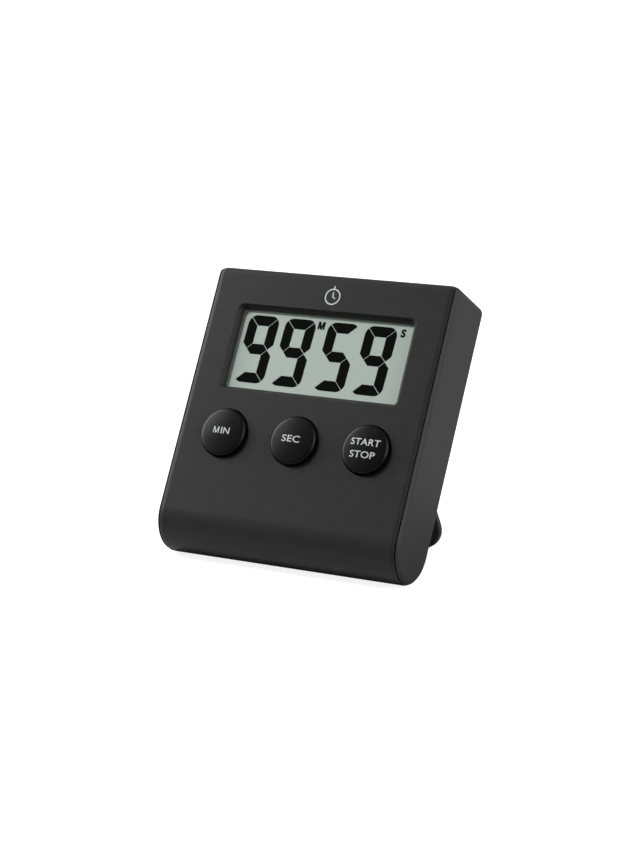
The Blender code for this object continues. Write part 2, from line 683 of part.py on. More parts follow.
def make_stand(finish, frame):
    """Hangs from its pivot, and its foot is cut level with the ground when it is open."""
    tilt = STAND_ANGLE - LEAN_ANGLE
    half = STAND_THICKNESS / 2
    outer = -(pivot_height() + half * math.sin(tilt)) / math.cos(tilt)
    inner = -(pivot_height() - half * math.sin(tilt)) / math.cos(tilt)
    pivot = empty("stand_pivot", frame, (0.0, STAND_PIVOT_Y, STAND_HINGE_HEIGHT), STAND_ANGLE)

    bm = bmesh.new()
    add_prism_x(bm, plate_outline(STAND_THICKNESS, outer, inner), -STAND_WIDTH / 2, STAND_WIDTH / 2)
    stand = part("stand", bm, finish, pivot)

    outline = bmesh.new()
    radius = STAND_CORNER_RADIUS
    width = STAND_WIDTH / 2 - radius
    lower = arc((-width, outer + radius), radius, 180, 270, 2 * CORNER_SEGMENTS)
    lower += arc((width, outer + radius), radius, 270, 360, 2 * CORNER_SEGMENTS)
    upper = [(STAND_WIDTH / 2, CUT_OVERRUN), (-STAND_WIDTH / 2, CUT_OVERRUN)]
    add_prism_y(outline, lower + upper, -CUT_OVERRUN, CUT_OVERRUN)
    combine(stand, tool("stand_outline", outline, pivot), "INTERSECT")
    add_pins("stand_pins", stand, STAND_WIDTH / 2, STAND_PIN_LENGTH, STAND_PIN_DIAMETER, pivot)


def make_battery_cover(finish, frame):
    """Stands up from its pivot at its bottom edge, with a finger lip at the top."""
    pivot = empty("battery_cover_pivot", frame, (0.0, DOOR_PIVOT_Y, DOOR_PIVOT_Z))
    half = DOOR_THICKNESS / 2
    top = DOOR_TOP - DOOR_PIVOT_Z
    outline = arc((0.0, 0.0), half, 180, 360, 2 * CORNER_SEGMENTS) + [(half, top), (-half, top)]
    bm = bmesh.new()
    add_prism_x(bm, outline, -DOOR_HALF, DOOR_HALF)
    cover = part("battery_cover", bm, finish, pivot)
    add_pins("door_pins", cover, DOOR_HALF, DOOR_PIN_LENGTH, DOOR_PIN_DIAMETER, pivot)


# Display

def make_display(finishes, frame):
    film_half = GLASS_HALF - FIT_GAP
    film_bottom = GLASS_BOTTOM + CONTACT_LEDGE / 2
    stack = [
        ("lcd_front_polarizer", film_half, film_bottom, POLARIZER_FRONT, FILM_THICKNESS, "film"),
        ("lcd_glass", GLASS_HALF, GLASS_BOTTOM, GLASS_FRONT, GLASS_THICKNESS, "glass"),
        ("lcd_reflector", film_half, ZEBRA_TOP + FIT_GAP, GLASS_BACK + SEAT_GAP, FILM_THICKNESS, "film"),
    ]
    for name, half, bottom, front, thickness, finish in stack:
        bm = bmesh.new()
        top = GLASS_TOP - (GLASS_HALF - half)
        add_box(bm, (-half, front, bottom), (half, front + thickness, top))
        part(name, bm, finishes[finish], frame)

    bm = bmesh.new()
    half = GLASS_HALF + FIT_GAP
    outer = half + HOLDER_WALL
    front = POLARIZER_FRONT
    bottom = GLASS_BOTTOM - FIT_GAP
    top = GLASS_TOP + FIT_GAP
    add_box(bm, (-outer, front, bottom - HOLDER_WALL), (outer, REFLECTOR_BACK, top + HOLDER_WALL))
    holder = part("lcd_holder", bm, finishes["holder"], frame)
    pocket = bmesh.new()
    add_box(pocket, (-half, front - CUT_OVERRUN, bottom), (half, REFLECTOR_BACK + CUT_OVERRUN, top))
    combine(holder, tool("holder_pocket", pocket, frame), "DIFFERENCE")

    bm = bmesh.new()
    zebra_half = GLASS_HALF - GLASS_BORDER
    add_box(bm, (-zebra_half, GLASS_BACK + SEAT_GAP, ZEBRA_BOTTOM), (zebra_half, ZEBRA_BACK, ZEBRA_TOP))
    part("zebra_strip", bm, finishes["carbon"], frame)


# Buttons and keypad

def cap_profile():
    """Front centre to back centre: crowned top, rounded edge, straight side, flange and stem."""
    radius = BUTTON_DIAMETER / 2
    edge = BUTTON_EDGE_RADIUS
    shoulder = -BUTTON_PROUD + BUTTON_CROWN
    crown = [
        (-BUTTON_PROUD + BUTTON_CROWN * share * share, (radius - edge) * share)
        for share in (0.12, 0.5, 0.8, 1.0)
    ]
    rim = [
        (shoulder + edge - edge * math.cos(a), radius - edge + edge * math.sin(a))
        for a in map(math.radians, (30, 60, 90))
    ]
    flange = radius + BUTTON_FLANGE
    return crown + rim + [
        (FLANGE_FRONT, radius),
        (FLANGE_FRONT, flange),
        (FLANGE_BACK, flange),
        (FLANGE_BACK, STEM_DIAMETER / 2),
        (DOME_FRONT - SEAT_GAP, STEM_DIAMETER / 2),
    ]


def make_buttons(finishes, frame):
    for index, name in zip((-1, 0, 1), BUTTON_NAMES):
        x = index * BUTTON_SPACING
        bm = bmesh.new()
        add_turned(bm, 0.0, 0.0, cap_profile())
        part(f"button_{name}", bm, finishes["button"], frame, (x, 0.0, BUTTON_ROW_HEIGHT))
        bm = bmesh.new()
        add_disc(bm, 0.0, 0.0, PILL_DIAMETER, PILL_FRONT, PILL_BACK, SMALL_SEGMENTS)
        part(f"contact_pill_{name}", bm, finishes["carbon"], frame, (x, 0.0, BUTTON_ROW_HEIGHT))


def make_keypad(finish, frame):
    """A thin mat on the board with three hollow domes, open towards the board."""
    edge = DOME_DIAMETER / 2 + FIT_GAP
    half = BUTTON_SPACING + edge
    bm = bmesh.new()
    outline = rounded_rectangle(half, BUTTON_ROW_HEIGHT - edge, BUTTON_ROW_HEIGHT + edge, edge / 2)
    add_prism_y(bm, outline, KEYPAD_FRONT, KEYPAD_BACK)
    keypad = part("rubber_keypad", bm, finish, frame)

    domes = bmesh.new()
    hollows = bmesh.new()
    for index in (-1, 0, 1):
        place_x = index * BUTTON_SPACING
        profile = [
            (DOME_FRONT, DOME_TOP_DIAMETER / 2),
            (KEYPAD_FRONT + KEYPAD_THICKNESS / 2, DOME_DIAMETER / 2),
        ]
        add_turned(domes, place_x, BUTTON_ROW_HEIGHT, profile, SMALL_SEGMENTS)
        profile = [
            (DOME_CEILING, DOME_TOP_DIAMETER / 2 - DOME_WALL),
            (KEYPAD_BACK + CUT_OVERRUN / 4, DOME_DIAMETER / 2 - DOME_WALL),
        ]
        add_turned(hollows, place_x, BUTTON_ROW_HEIGHT, profile, SMALL_SEGMENTS)
    combine(keypad, tool("keypad_domes", domes, frame), "UNION")
    combine(keypad, tool("keypad_hollows", hollows, frame), "DIFFERENCE")


# Board and what is on it

def board_place(across, up):
    """A place on the board's back from its middle: fractions of its half width and half height."""
    middle = (BOARD_BOTTOM + BOARD_TOP) / 2
    return across * BOARD_HALF, middle + up * (BOARD_TOP - BOARD_BOTTOM) / 2


def make_board(finishes, frame):
    bm = bmesh.new()
    add_box(bm, (-BOARD_HALF, BOARD_FRONT, BOARD_BOTTOM), (BOARD_HALF, BOARD_BACK, BOARD_TOP))
    board = part("main_board", bm, finishes["board"], frame)
    holes = bmesh.new()
    for x, z in BOARD_SCREWS:
        bore = BOARD_SCREW_DIAMETER + SCREW_CLEARANCE
        ends = (BOARD_FRONT - CUT_OVERRUN / 4, BOARD_BACK + CUT_OVERRUN / 4)
        add_disc(holes, x, z, bore, *ends, SMALL_SEGMENTS)
    combine(board, tool("board_holes", holes, frame), "DIFFERENCE")

    x, z = board_place(0.0, -0.25)
    bm = bmesh.new()
    profile = [
        (PARTS_BACK + CHIP_HEIGHT * math.sin(a), CHIP_DIAMETER / 2 * math.cos(a))
        for a in map(math.radians, (0, 15, 35, 60, 85))
    ]
    add_turned(bm, x, z, profile, SMALL_SEGMENTS)
    part("timer_chip", bm, finishes["epoxy"], frame)

    x, z = board_place(0.45, 0.55)
    bm = bmesh.new()
    circle = arc((PARTS_BACK + CRYSTAL_DIAMETER / 2, z), CRYSTAL_DIAMETER / 2, 0, 360, SMALL_SEGMENTS)[:-1]
    add_prism_x(bm, circle, x - CRYSTAL_LENGTH / 2, x + CRYSTAL_LENGTH / 2)
    part("quartz_crystal", bm, finishes["steel"], frame)

    x, z = board_place(-0.5, 0.3)
    bm = bmesh.new()
    add_disc(bm, x, z, CAPACITOR_DIAMETER, PARTS_BACK, PARTS_BACK + CAPACITOR_HEIGHT, SMALL_SEGMENTS)
    soften(part("board_capacitor", bm, finishes["cell"], frame), FIT_GAP)

    boxes = [
        ("board_resistor_1", 0.3, -0.65, RESISTOR_SIZE, "epoxy"),
        ("board_resistor_2", 0.42, -0.65, RESISTOR_SIZE, "epoxy"),
        ("driver_transistor", -0.3, -0.7, TRANSISTOR_SIZE, "epoxy"),
    ]
    for name, across, up, size, finish in boxes:
        x, z = board_place(across, up)
        bm = bmesh.new()
        low = (x - size[0] / 2, PARTS_BACK, z - size[2] / 2)
        add_box(bm, low, (low[0] + size[0], low[1] + size[1], low[2] + size[2]))
        part(name, bm, finishes[finish], frame)

    x, z = board_place(-0.55, -0.5)
    bm = bmesh.new()
    rim = COIL_DIAMETER / 2
    waist = rim * 0.75
    steps = [0.0, 0.15, 0.2, 0.8, 0.85, 1.0]
    radii = [rim, rim, waist, waist, rim, rim]
    profile = [(PARTS_BACK + COIL_HEIGHT * step, r) for step, r in zip(steps, radii)]
    add_turned(bm, x, z, profile, SMALL_SEGMENTS)
    part("boost_coil", bm, finishes["brass"], frame)


# Screws

def screw_profile(head_diameter, head_height, diameter, seat, end):
    """Head towards the back: profile from the screw's tip to the top of its pan head."""
    head = head_diameter / 2
    return [
        (end, diameter / 6),
        (end + diameter / 2, diameter / 2),
        (seat, diameter / 2),
        (seat, head),
        (seat + head_height * 0.6, head),
        (seat + head_height, head * 0.7),
    ]


def make_screw(name, x, z, head, diameter, seat, end, finish, frame):
    """A pan-head screw with a cross recess. The head is (diameter, height)."""
    wide, high = head
    bm = bmesh.new()
    add_turned(bm, x, z, screw_profile(wide, high, diameter, seat, end), SMALL_SEGMENTS)
    screw = part(name, bm, finish, frame)
    cross = bmesh.new()
    arm = wide * 0.3
    bar = wide * 0.07
    quarter = [(bar, -arm), (bar, -bar), (arm, -bar)]
    outline = []
    for turn in range(4):
        for a, b in quarter:
            for _ in range(turn):
                a, b = -b, a
            outline.append((x + a, z + b))
    add_prism_y(cross, outline, seat + high * 0.4, seat + high * 2)
    combine(screw, tool(f"{name}_cross", cross, frame), "DIFFERENCE")


def make_screws(finish, frame):
    head = (CASE_HEAD, CASE_HEAD_HEIGHT)
    for index, (x, z, face) in enumerate(CASE_SCREWS, start=1):
        name = f"case_screw_{index}"
        seat = face - SCREW_HEAD_DEPTH + SEAT_GAP
        make_screw(name, x, z, head, CASE_SCREW_DIAMETER, seat, seat - CASE_SCREW_LENGTH, finish, frame)
    head = (BOARD_HEAD, BOARD_HEAD_HEIGHT)
    end = FRONT_WALL + 2 * FIT_GAP
    for index, (x, z) in enumerate(BOARD_SCREWS, start=1):
        name = f"board_screw_{index}"
        make_screw(name, x, z, head, BOARD_SCREW_DIAMETER, PARTS_BACK, end, finish, frame)


# Battery and contacts

def make_cell(finish, frame):
    bm = bmesh.new()
    rings = []
    radius = CELL_DIAMETER / 2
    shoulder = CELL_NUB_TIP - NUB_LENGTH
    profile = [
        (CELL_REAR, radius - FIT_GAP),
        (CELL_REAR + FIT_GAP, radius),
        (shoulder - FIT_GAP, radius),
        (shoulder, radius - FIT_GAP),
        (shoulder, NUB_DIAMETER / 2),
        (CELL_NUB_TIP, NUB_DIAMETER / 2),
    ]
    for x, r in profile:
        circle = arc((CELL_Y, BATTERY_HEIGHT), r, 0, 360, ROUND_SEGMENTS)[:-1]
        rings.append([bm.verts.new((x, y, z)) for y, z in circle])
    bridge(bm, rings)
    part("battery_cell", bm, finish, frame)


def make_contact(name, side, finish, frame):
    """A sheet at one end of the well, with a solder tab through the slot below it."""
    outer = WELL_HALF - FIT_GAP * 1.5
    ends = sorted((side * outer, side * (outer - CONTACT_SHEET)))
    bottom = BATTERY_HEIGHT - WELL_HALF_HEIGHT - WELL_WALL - TAB_LENGTH
    outline = [
        (CELL_Y - TAB_HALF, bottom),
        (CELL_Y + TAB_HALF, bottom),
        (CELL_Y + TAB_HALF, BATTERY_HEIGHT - CONTACT_HALF),
        (CELL_Y + CONTACT_HALF, BATTERY_HEIGHT - CONTACT_HALF),
        (CELL_Y + CONTACT_HALF, BATTERY_HEIGHT + CONTACT_HALF),
        (CELL_Y - CONTACT_HALF, BATTERY_HEIGHT + CONTACT_HALF),
        (CELL_Y - CONTACT_HALF, BATTERY_HEIGHT - CONTACT_HALF),
        (CELL_Y - TAB_HALF, BATTERY_HEIGHT - CONTACT_HALF),
    ]
    bm = bmesh.new()
    add_prism_x(bm, outline, *ends)
    part(name, bm, finish, frame)


def wire(name, points, radius, finish, parent, resolution=2):
    curve = bpy.data.curves.new(name, "CURVE")
    curve.dimensions = "3D"
    curve.bevel_depth = radius
    curve.bevel_resolution = resolution
    curve.use_fill_caps = True
    curve.materials.append(finish)
    spline = curve.splines.new("POLY")
    spline.points.add(len(points) - 1)
    for point, place_at in zip(spline.points, points):
        point.co = (*place_at, 1.0)
    return place(bpy.data.objects.new(name, curve), parent)


def make_spring(finish, frame):
    """A cone of wire from the negative sheet to the cell's flat end."""
    start = -(WELL_HALF - FIT_GAP * 1.5 - CONTACT_SHEET) + SPRING_WIRE / 2 + SEAT_GAP
    end = CELL_REAR - SPRING_WIRE / 2 - SEAT_GAP
    wide = CONTACT_HALF - SPRING_WIRE
    narrow = wide * 0.55
    count = int(SPRING_TURNS * 14)
    points = []
    for i in range(count + 1):
        share = i / count
        angle = 2 * math.pi * SPRING_TURNS * share
        radius = wide + (narrow - wide) * share
        points.append(
            (
                start + (end - start) * share,
                CELL_Y + radius * math.cos(angle),
                BATTERY_HEIGHT + radius * math.sin(angle),
            )
        )
    wire("battery_spring", points, SPRING_WIRE / 2, finish, frame, 1)


def smooth_route(corners, count=14):
    """Points on one smooth curve through the corners (Catmull-Rom)."""
    ends = [corners[0]] + list(corners) + [corners[-1]]
    per_span = max(2, count // (len(corners) - 1))
    points = []
    for i in range(1, len(ends) - 2):
        a, b, c, d = (Vector(p) for p in ends[i - 1 : i + 3])
        for step in range(per_span):
            t = step / per_span
            square = (2 * a - 5 * b + 4 * c - d) * t**2
            cube = (3 * b - a - 3 * c + d) * t**3
            points.append((2 * b + (c - a) * t + square + cube) / 2)
    points.append(Vector(corners[-1]))
    return points


def make_leads(finishes, frame):
    """Four short leads to the board's back: two from the cell's contacts, two from the sounder."""
    board_y = PARTS_BACK + LEAD_RADIUS
    tab_end = BATTERY_HEIGHT - WELL_HALF_HEIGHT - WELL_WALL - TAB_LENGTH
    start_z = tab_end - LEAD_RADIUS - SEAT_GAP
    for side, name, finish in ((1, "positive", "red"), (-1, "negative", "black")):
        x = side * (WELL_HALF - FIT_GAP * 1.5 - CONTACT_SHEET / 2)
        pad = (side * BOARD_HALF * 0.72, BOARD_TOP - 0.0060)
        corners = [
            (x, CELL_Y, start_z),
            (x, CELL_Y, start_z - 0.0010),
            ((x + pad[0]) / 2, (CELL_Y + board_y) / 2 + 0.0005, (start_z + pad[1]) / 2),
            (pad[0], board_y + 0.0008, pad[1] + 0.0012),
            (pad[0], board_y, pad[1]),
        ]
        wire(f"battery_lead_{name}", smooth_route(corners), LEAD_RADIUS, finishes[finish], frame)

    plate_y = PLATE_FRONT - SEAT_GAP - LEAD_RADIUS
    ceramic_y = CERAMIC_BACK - BUZZER_SHEET - SEAT_GAP - LEAD_RADIUS
    starts = [
        ("plate", BUZZER_DIAMETER * 0.44, plate_y, 0.22, "black"),
        ("ceramic", CERAMIC_DIAMETER * 0.25, ceramic_y, 0.1, "red"),
    ]
    for name, offset, start_y, across, finish in starts:
        pad_x = across * BOARD_HALF
        pad_z = BUZZER_HEIGHT - 0.0005
        corners = [
            (offset, start_y, BUZZER_HEIGHT),
            (offset, start_y - 0.0012, BUZZER_HEIGHT + 0.0014),
            ((offset + pad_x) / 2, (start_y + board_y) / 2, BUZZER_HEIGHT + 0.0022),
            (pad_x, board_y + 0.0012, pad_z + 0.0012),
            (pad_x, board_y, pad_z),
        ]
        wire(f"buzzer_lead_{name}", smooth_route(corners), LEAD_RADIUS, finishes[finish], frame)


# Sounder and magnets

def make_sounder(finishes, frame):
    bm = bmesh.new()
    add_disc(bm, 0.0, BUZZER_HEIGHT, BUZZER_DIAMETER, PLATE_FRONT, PLATE_BACK)
    part("buzzer_plate", bm, finishes["brass"], frame)
    bm = bmesh.new()
    add_disc(bm, 0.0, BUZZER_HEIGHT, CERAMIC_DIAMETER, CERAMIC_BACK - BUZZER_SHEET, CERAMIC_BACK)
    part("buzzer_ceramic", bm, finishes["ceramic"], frame)


def make_magnets(finish, frame):
    for side, name in ((-1, "left"), (1, "right")):
        bm = bmesh.new()
        low = CASE_THICKNESS - MAGNET_THICKNESS
        add_disc(bm, side * MAGNET_SPACING / 2, BUZZER_HEIGHT, MAGNET_DIAMETER, low, CASE_THICKNESS)
        part(f"magnet_{name}", bm, finish, frame)


def main():
    clear_scene()
    finishes = make_materials()
    frame = empty("case_frame", None, case_origin(), -LEAN_ANGLE)
    make_front_cover(finishes["shell"], frame)
    make_rear_shell(finishes["shell"], frame)
    make_stand(finishes["shell"], frame)
    make_battery_cover(finishes["shell"], frame)
    make_display(finishes, frame)
    make_buttons(finishes, frame)
    make_keypad(finishes["rubber"], frame)
    make_board(finishes, frame)
    make_screws(finishes["steel"], frame)
    make_cell(finishes["cell"], frame)
    make_contact("battery_contact_positive", 1, finishes["steel"], frame)
    make_contact("battery_contact_negative", -1, finishes["steel"], frame)
    make_spring(finishes["steel"], frame)
    make_leads(finishes, frame)
    make_sounder(finishes, frame)
    make_magnets(finishes["magnet"], frame)


main()
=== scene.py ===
import json
import math

import bmesh
import bpy
import numpy as np
from mathutils import Matrix, Vector


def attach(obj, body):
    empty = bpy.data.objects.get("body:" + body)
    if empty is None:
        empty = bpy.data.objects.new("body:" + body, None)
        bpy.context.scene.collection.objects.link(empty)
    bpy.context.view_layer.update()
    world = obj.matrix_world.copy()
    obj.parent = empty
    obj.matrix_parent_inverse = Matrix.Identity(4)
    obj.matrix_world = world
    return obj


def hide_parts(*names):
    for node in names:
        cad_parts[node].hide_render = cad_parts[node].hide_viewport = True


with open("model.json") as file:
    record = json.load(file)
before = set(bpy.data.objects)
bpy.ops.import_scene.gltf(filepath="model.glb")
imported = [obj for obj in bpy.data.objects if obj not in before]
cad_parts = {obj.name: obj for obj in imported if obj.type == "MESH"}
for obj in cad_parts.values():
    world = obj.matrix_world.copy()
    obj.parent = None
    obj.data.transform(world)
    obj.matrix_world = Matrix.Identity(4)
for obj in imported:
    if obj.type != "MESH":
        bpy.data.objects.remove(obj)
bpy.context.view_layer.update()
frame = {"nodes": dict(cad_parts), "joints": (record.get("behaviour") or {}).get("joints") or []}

# Everything below is drawn in millimetres in the case's own frame: x across the face, y from the face
# to the back, z up along the face. It is laid into the world as the last step.
jointOf = {joint["name"]: joint for joint in frame["joints"]}
inward = np.array(jointOf["button_sec_press"]["axis"])
inward = inward / np.linalg.norm(inward)
across = np.array((1.0, 0.0, 0.0))
axes = np.array((across, inward, np.cross(across, inward)))
millimetre = 0.001


def nodePlaces(name):
    # a CAD node's vertices along the case's axes, in millimetres
    mesh = frame["nodes"][name].data
    flat = np.empty(3 * len(mesh.vertices))
    mesh.vertices.foreach_get("co", flat)
    return flat.reshape(-1, 3) @ axes.T / millimetre


caseOrigin = np.array((0.0, nodePlaces("front_cover")[:, 1].min(), nodePlaces("rear_shell")[:, 2].min()))


def caseBox(name):
    # a CAD node's lowest and highest corner in the case's frame
    places = nodePlaces(name) - caseOrigin
    return places.min(0), places.max(0)


def casePoint(place):
    # a world place in metres, as a point of the case's frame
    return np.array(place) @ axes.T / millimetre - caseOrigin


def worldMatrix():
    turn = Matrix([list(row) for row in axes.T * millimetre]).to_4x4()
    turn.translation = (caseOrigin @ axes) * millimetre
    return turn


print("frame read")

shellHigh = caseBox("rear_shell")[1]
coverHigh = caseBox("front_cover")[1]
doorLow, doorHigh = caseBox("battery_cover")
magnetLow, magnetHigh = caseBox("magnet_right")
magnetX = (magnetLow[0] + magnetHigh[0]) / 2
magnetZ = (magnetLow[2] + magnetHigh[2]) / 2
filmLow, filmHigh = caseBox("lcd_front_polarizer")
standPivot = casePoint(jointOf["stand_fold"]["pos_m"])
doorPivot = casePoint(jointOf["battery_cover_open"]["pos_m"])
doorHalf = 26.65  # the door without its pins

case = {
    "halfWidth": shellHigh[0], "length": shellHigh[2], "thickness": shellHigh[1],
    "noseRadius": shellHigh[1] / 2, "frontTopRadius": 2.0, "backTopRadius": 2.0, "sideEdge": 1.8,
    "shellWall": 1.8, "frontWall": 1.7, "fitGap": 0.3, "noseSteps": 56, "cornerSteps": 12,
}
cutter = {"proud": 1.0, "past": 0.5, "outside": 2.0}  # how far a cutting shape stands clear of what it cuts


# Points and faces worked out as whole arrays

def arcPoints(centre, radius, start, end, steps):
    # points at equal angles round a centre, ends included
    angles = np.radians(np.linspace(start, end, steps + 1))
    return np.stack((centre[0] + radius * np.cos(angles), centre[1] + radius * np.sin(angles)), -1)


def roundSection(centre, radius):
    # a closed circle for a pin, a barrel or a groove that runs along x
    return arcPoints(centre, radius, 0, 345, 23)


def roundedRectangle(halfX, low, high, radius, steps=10):
    # four quarter arcs, joined by straight sides
    spots = (
        (halfX - radius, low + radius, 270),
        (halfX - radius, high - radius, 0),
        (radius - halfX, high - radius, 90),
        (radius - halfX, low + radius, 180),
    )
    return np.concatenate([arcPoints((x, z), radius, a, a + 90, steps) for x, z, a in spots])


def quads(rows, columns, closeRows=False):
    # every cell of a grid of points whose rows are closed loops, as four point numbers
    r = np.arange(rows if closeRows else rows - 1)[:, None]
    c = np.arange(columns)[None, :]
    nextRow = (r + 1) % rows
    nextColumn = (c + 1) % columns
    cells = (r * columns + c, r * columns + nextColumn, nextRow * columns + nextColumn, nextRow * columns + c)
    return np.stack(np.broadcast_arrays(*cells), -1).reshape(-1, 4)


def loft(grid, closed=False):
    # a skin over rows of points, each row a closed loop; both end loops are filled unless it closes
    rows, columns = grid.shape[:2]
    faces = quads(rows, columns, closed).tolist()
    if not closed:
        faces.append(list(range(columns))[::-1])
        faces.append(list(range((rows - 1) * columns, rows * columns)))
    return grid.reshape(-1, 3), faces


def along(axis, outlines, levels):
    # outlines in the two other axes, each laid at its own level of one axis
    outlines = np.asarray(outlines)
    levels = np.broadcast_to(np.asarray(levels, float)[:, None], outlines.shape[:2])
    columns = [outlines[..., 0], outlines[..., 1]]
    columns.insert(axis, levels)
    return loft(np.stack(columns, -1))


def bar(outline, start, end):
    # a straight bar along x, from its outline in (y, z)
    return along(0, [outline, outline], (start, end))


def sidePins(centre, radius, near, far):
    # a round bar at each side, from near to far off the middle
    circle = roundSection(centre, radius)
    return [bar(circle, *sorted((side * near, side * far))) for side in (-1, 1)]


def turned(centre, profile, steps=48, closed=False):
    # a profile of (y, radius) points carried round a line along y
    profile = np.asarray(profile, float)
    angles = np.linspace(0, 2 * np.pi, steps, endpoint=False)[None, :]
    x = centre[0] + profile[:, 1:] * np.cos(angles)
    z = centre[1] + profile[:, 1:] * np.sin(angles)
    y = np.broadcast_to(profile[:, :1], x.shape)
    return loft(np.stack((x, y, z), -1), closed)


def block(low, high):
    # a box from its lowest corner to its highest
    outline = [(low[0], low[2]), (high[0], low[2]), (high[0], high[2]), (low[0], high[2])]
    return along(1, [outline, outline], (low[1], high[1]))


def flare(radius, steps=6):
    # how far a rounded edge stands back at each depth: (depth, widening) from the surface inwards
    angles = np.linspace(0, np.pi / 2, steps + 1)
    return np.stack((radius * (1 - np.cos(angles)), radius * (1 - np.sin(angles))), -1)


def together(shapes):
    # several point and face sets as one
    points, faces, count = [], [], 0
    for some, cells in shapes:
        points.append(some)
        faces += [[number + count for number in cell] for cell in cells]
        count += len(some)
    return np.concatenate(points), faces


def newObject(name, data):
    made = bpy.data.objects.new(name, data)
    bpy.context.scene.collection.objects.link(made)
    return made


def toObject(name, shape):
    # a mesh from points and faces, with its faces turned outward
    points, faces = shape
    mesh = bpy.data.meshes.new(name)
    mesh.from_pydata(points.tolist(), [], faces)
    work = bmesh.new()
    work.from_mesh(mesh)
    bmesh.ops.recalc_face_normals(work, faces=work.faces)
    work.to_mesh(mesh)
    work.free()
    return newObject(name, mesh)


def bake(piece):
    # the piece's modifiers become its mesh
    bpy.context.view_layer.update()
    seen = piece.evaluated_get(bpy.context.evaluated_depsgraph_get())
    mesh = bpy.data.meshes.new_from_object(seen)
    piece.modifiers.clear()
    piece.data = mesh


def combine(piece, shape, operation="DIFFERENCE"):
    helper = toObject("helper", shape)
    cut = piece.modifiers.new("cut", "BOOLEAN")
    cut.operation = operation
    cut.solver = "EXACT"
    cut.object = helper
    bake(piece)
    bpy.data.objects.remove(helper)


weld = {"apart": 0.002, "letters": 0.0005, "plane": 0.004, "sharp": 30}  # millimetres, and degrees


def softenAt(piece, level, width):
    # rounds the sharp edges that lie in one plane across y
    work = bmesh.new()
    work.from_mesh(piece.data)
    bmesh.ops.remove_doubles(work, verts=work.verts, dist=weld["apart"])
    bmesh.ops.dissolve_degenerate(work, edges=work.edges, dist=weld["apart"])
    chosen = [
        edge for edge in work.edges
        if all(abs(v.co.y - level) < weld["plane"] for v in edge.verts)
        and edge.is_manifold and edge.calc_face_angle(0.0) > math.radians(weld["sharp"])
    ]
    bmesh.ops.bevel(work, geom=chosen, offset=width, segments=3, profile=0.5, affect="EDGES")
    work.to_mesh(piece.data)
    work.free()


# Effects that the finishes share

def nodeGroup(name, inputs, outputs):
    # a group with number inputs, their usual values, and number outputs, and its two end nodes
    group = bpy.data.node_groups.new(name, "ShaderNodeTree")
    for title, value in inputs.items():
        socket = group.interface.new_socket(title, in_out="INPUT", socket_type="NodeSocketFloat")
        socket.default_value = value
    for title in outputs:
        group.interface.new_socket(title, in_out="OUTPUT", socket_type="NodeSocketFloat")
    return group, group.nodes.new("NodeGroupInput"), group.nodes.new("NodeGroupOutput")


def fill(tree, node, inputs):
    # a socket is linked to its input, and a plain value is set on it
    for key, value in inputs.items():
        if isinstance(value, bpy.types.NodeSocket):
            tree.links.new(value, node.inputs[key])
        else:
            node.inputs[key].default_value = value


def addNode(tree, kind, inputs=None, **settings):
    node = tree.nodes.new(kind)
    for key, value in settings.items():
        setattr(node, key, value)
    fill(tree, node, inputs or {})
    return node


def mathNode(tree, operation, *values, clamp=False):
    node = addNode(tree, "ShaderNodeMath", dict(enumerate(values)), operation=operation, use_clamp=clamp)
    return node.outputs[0]


def smoothRange(tree, value, start, end, low, high):
    inputs = {"Value": value, "From Min": start, "From Max": end, "To Min": low, "To Max": high}
    return addNode(tree, "ShaderNodeMapRange", inputs, interpolation_type="SMOOTHSTEP").outputs[0]


def objectPlace(tree):
    return addNode(tree, "ShaderNodeTexCoord").outputs["Object"]


def objectAxis(tree, axis):
    return addNode(tree, "ShaderNodeSeparateXYZ", {0: objectPlace(tree)}).outputs[axis]


def surfaceNormal(tree):
    return addNode(tree, "ShaderNodeNewGeometry").outputs["Normal"]


effects = {
    "cellShare": 0.5,       # of the grain's height, from its cells
    "fineShare": 0.35,      # of the grain's mask, from its fine noise
    "edgeGain": 6.0,
    "patchScale": 160.0,
    "speckScale": 900.0,
    "speckStart": 0.45,
    "speckGain": 4.0,
    "dustColor": (0.35, 0.34, 0.32, 1.0),
    "coatRoughness": 0.15,
    "wornGloss": -0.15,
    "wornGain": 2.2,
    "wornLift": 0.01,
}


def makeGrainGroup():
    # moulding grain: fine cells with a slow mottle under them, as a height and a mask from 0 to 1
    group, start, end = nodeGroup("mouldedGrain", {"Cells": 4000.0, "Mottle": 300.0}, ("Height", "Mask"))
    place = objectPlace(group)
    inputs = {"Vector": place, "Scale": start.outputs["Cells"], "Detail": 2.0, "Roughness": 0.6}
    fine = addNode(group, "ShaderNodeTexNoise", inputs).outputs[0]
    inputs = {"Vector": place, "Scale": start.outputs["Cells"]}
    cells = addNode(group, "ShaderNodeTexVoronoi", inputs).outputs["Distance"]
    inputs = {"Vector": place, "Scale": start.outputs["Mottle"], "Detail": 4.0, "Roughness": 0.65}
    slow = addNode(group, "ShaderNodeTexNoise", inputs).outputs[0]
    slow = mathNode(group, "MULTIPLY", slow, 1.0 - effects["fineShare"])
    mask = mathNode(group, "MULTIPLY_ADD", fine, effects["fineShare"], slow)
    height = mathNode(group, "MULTIPLY_ADD", cells, effects["cellShare"], fine)
    fill(group, end, {"Height": height, "Mask": mask})
    return group


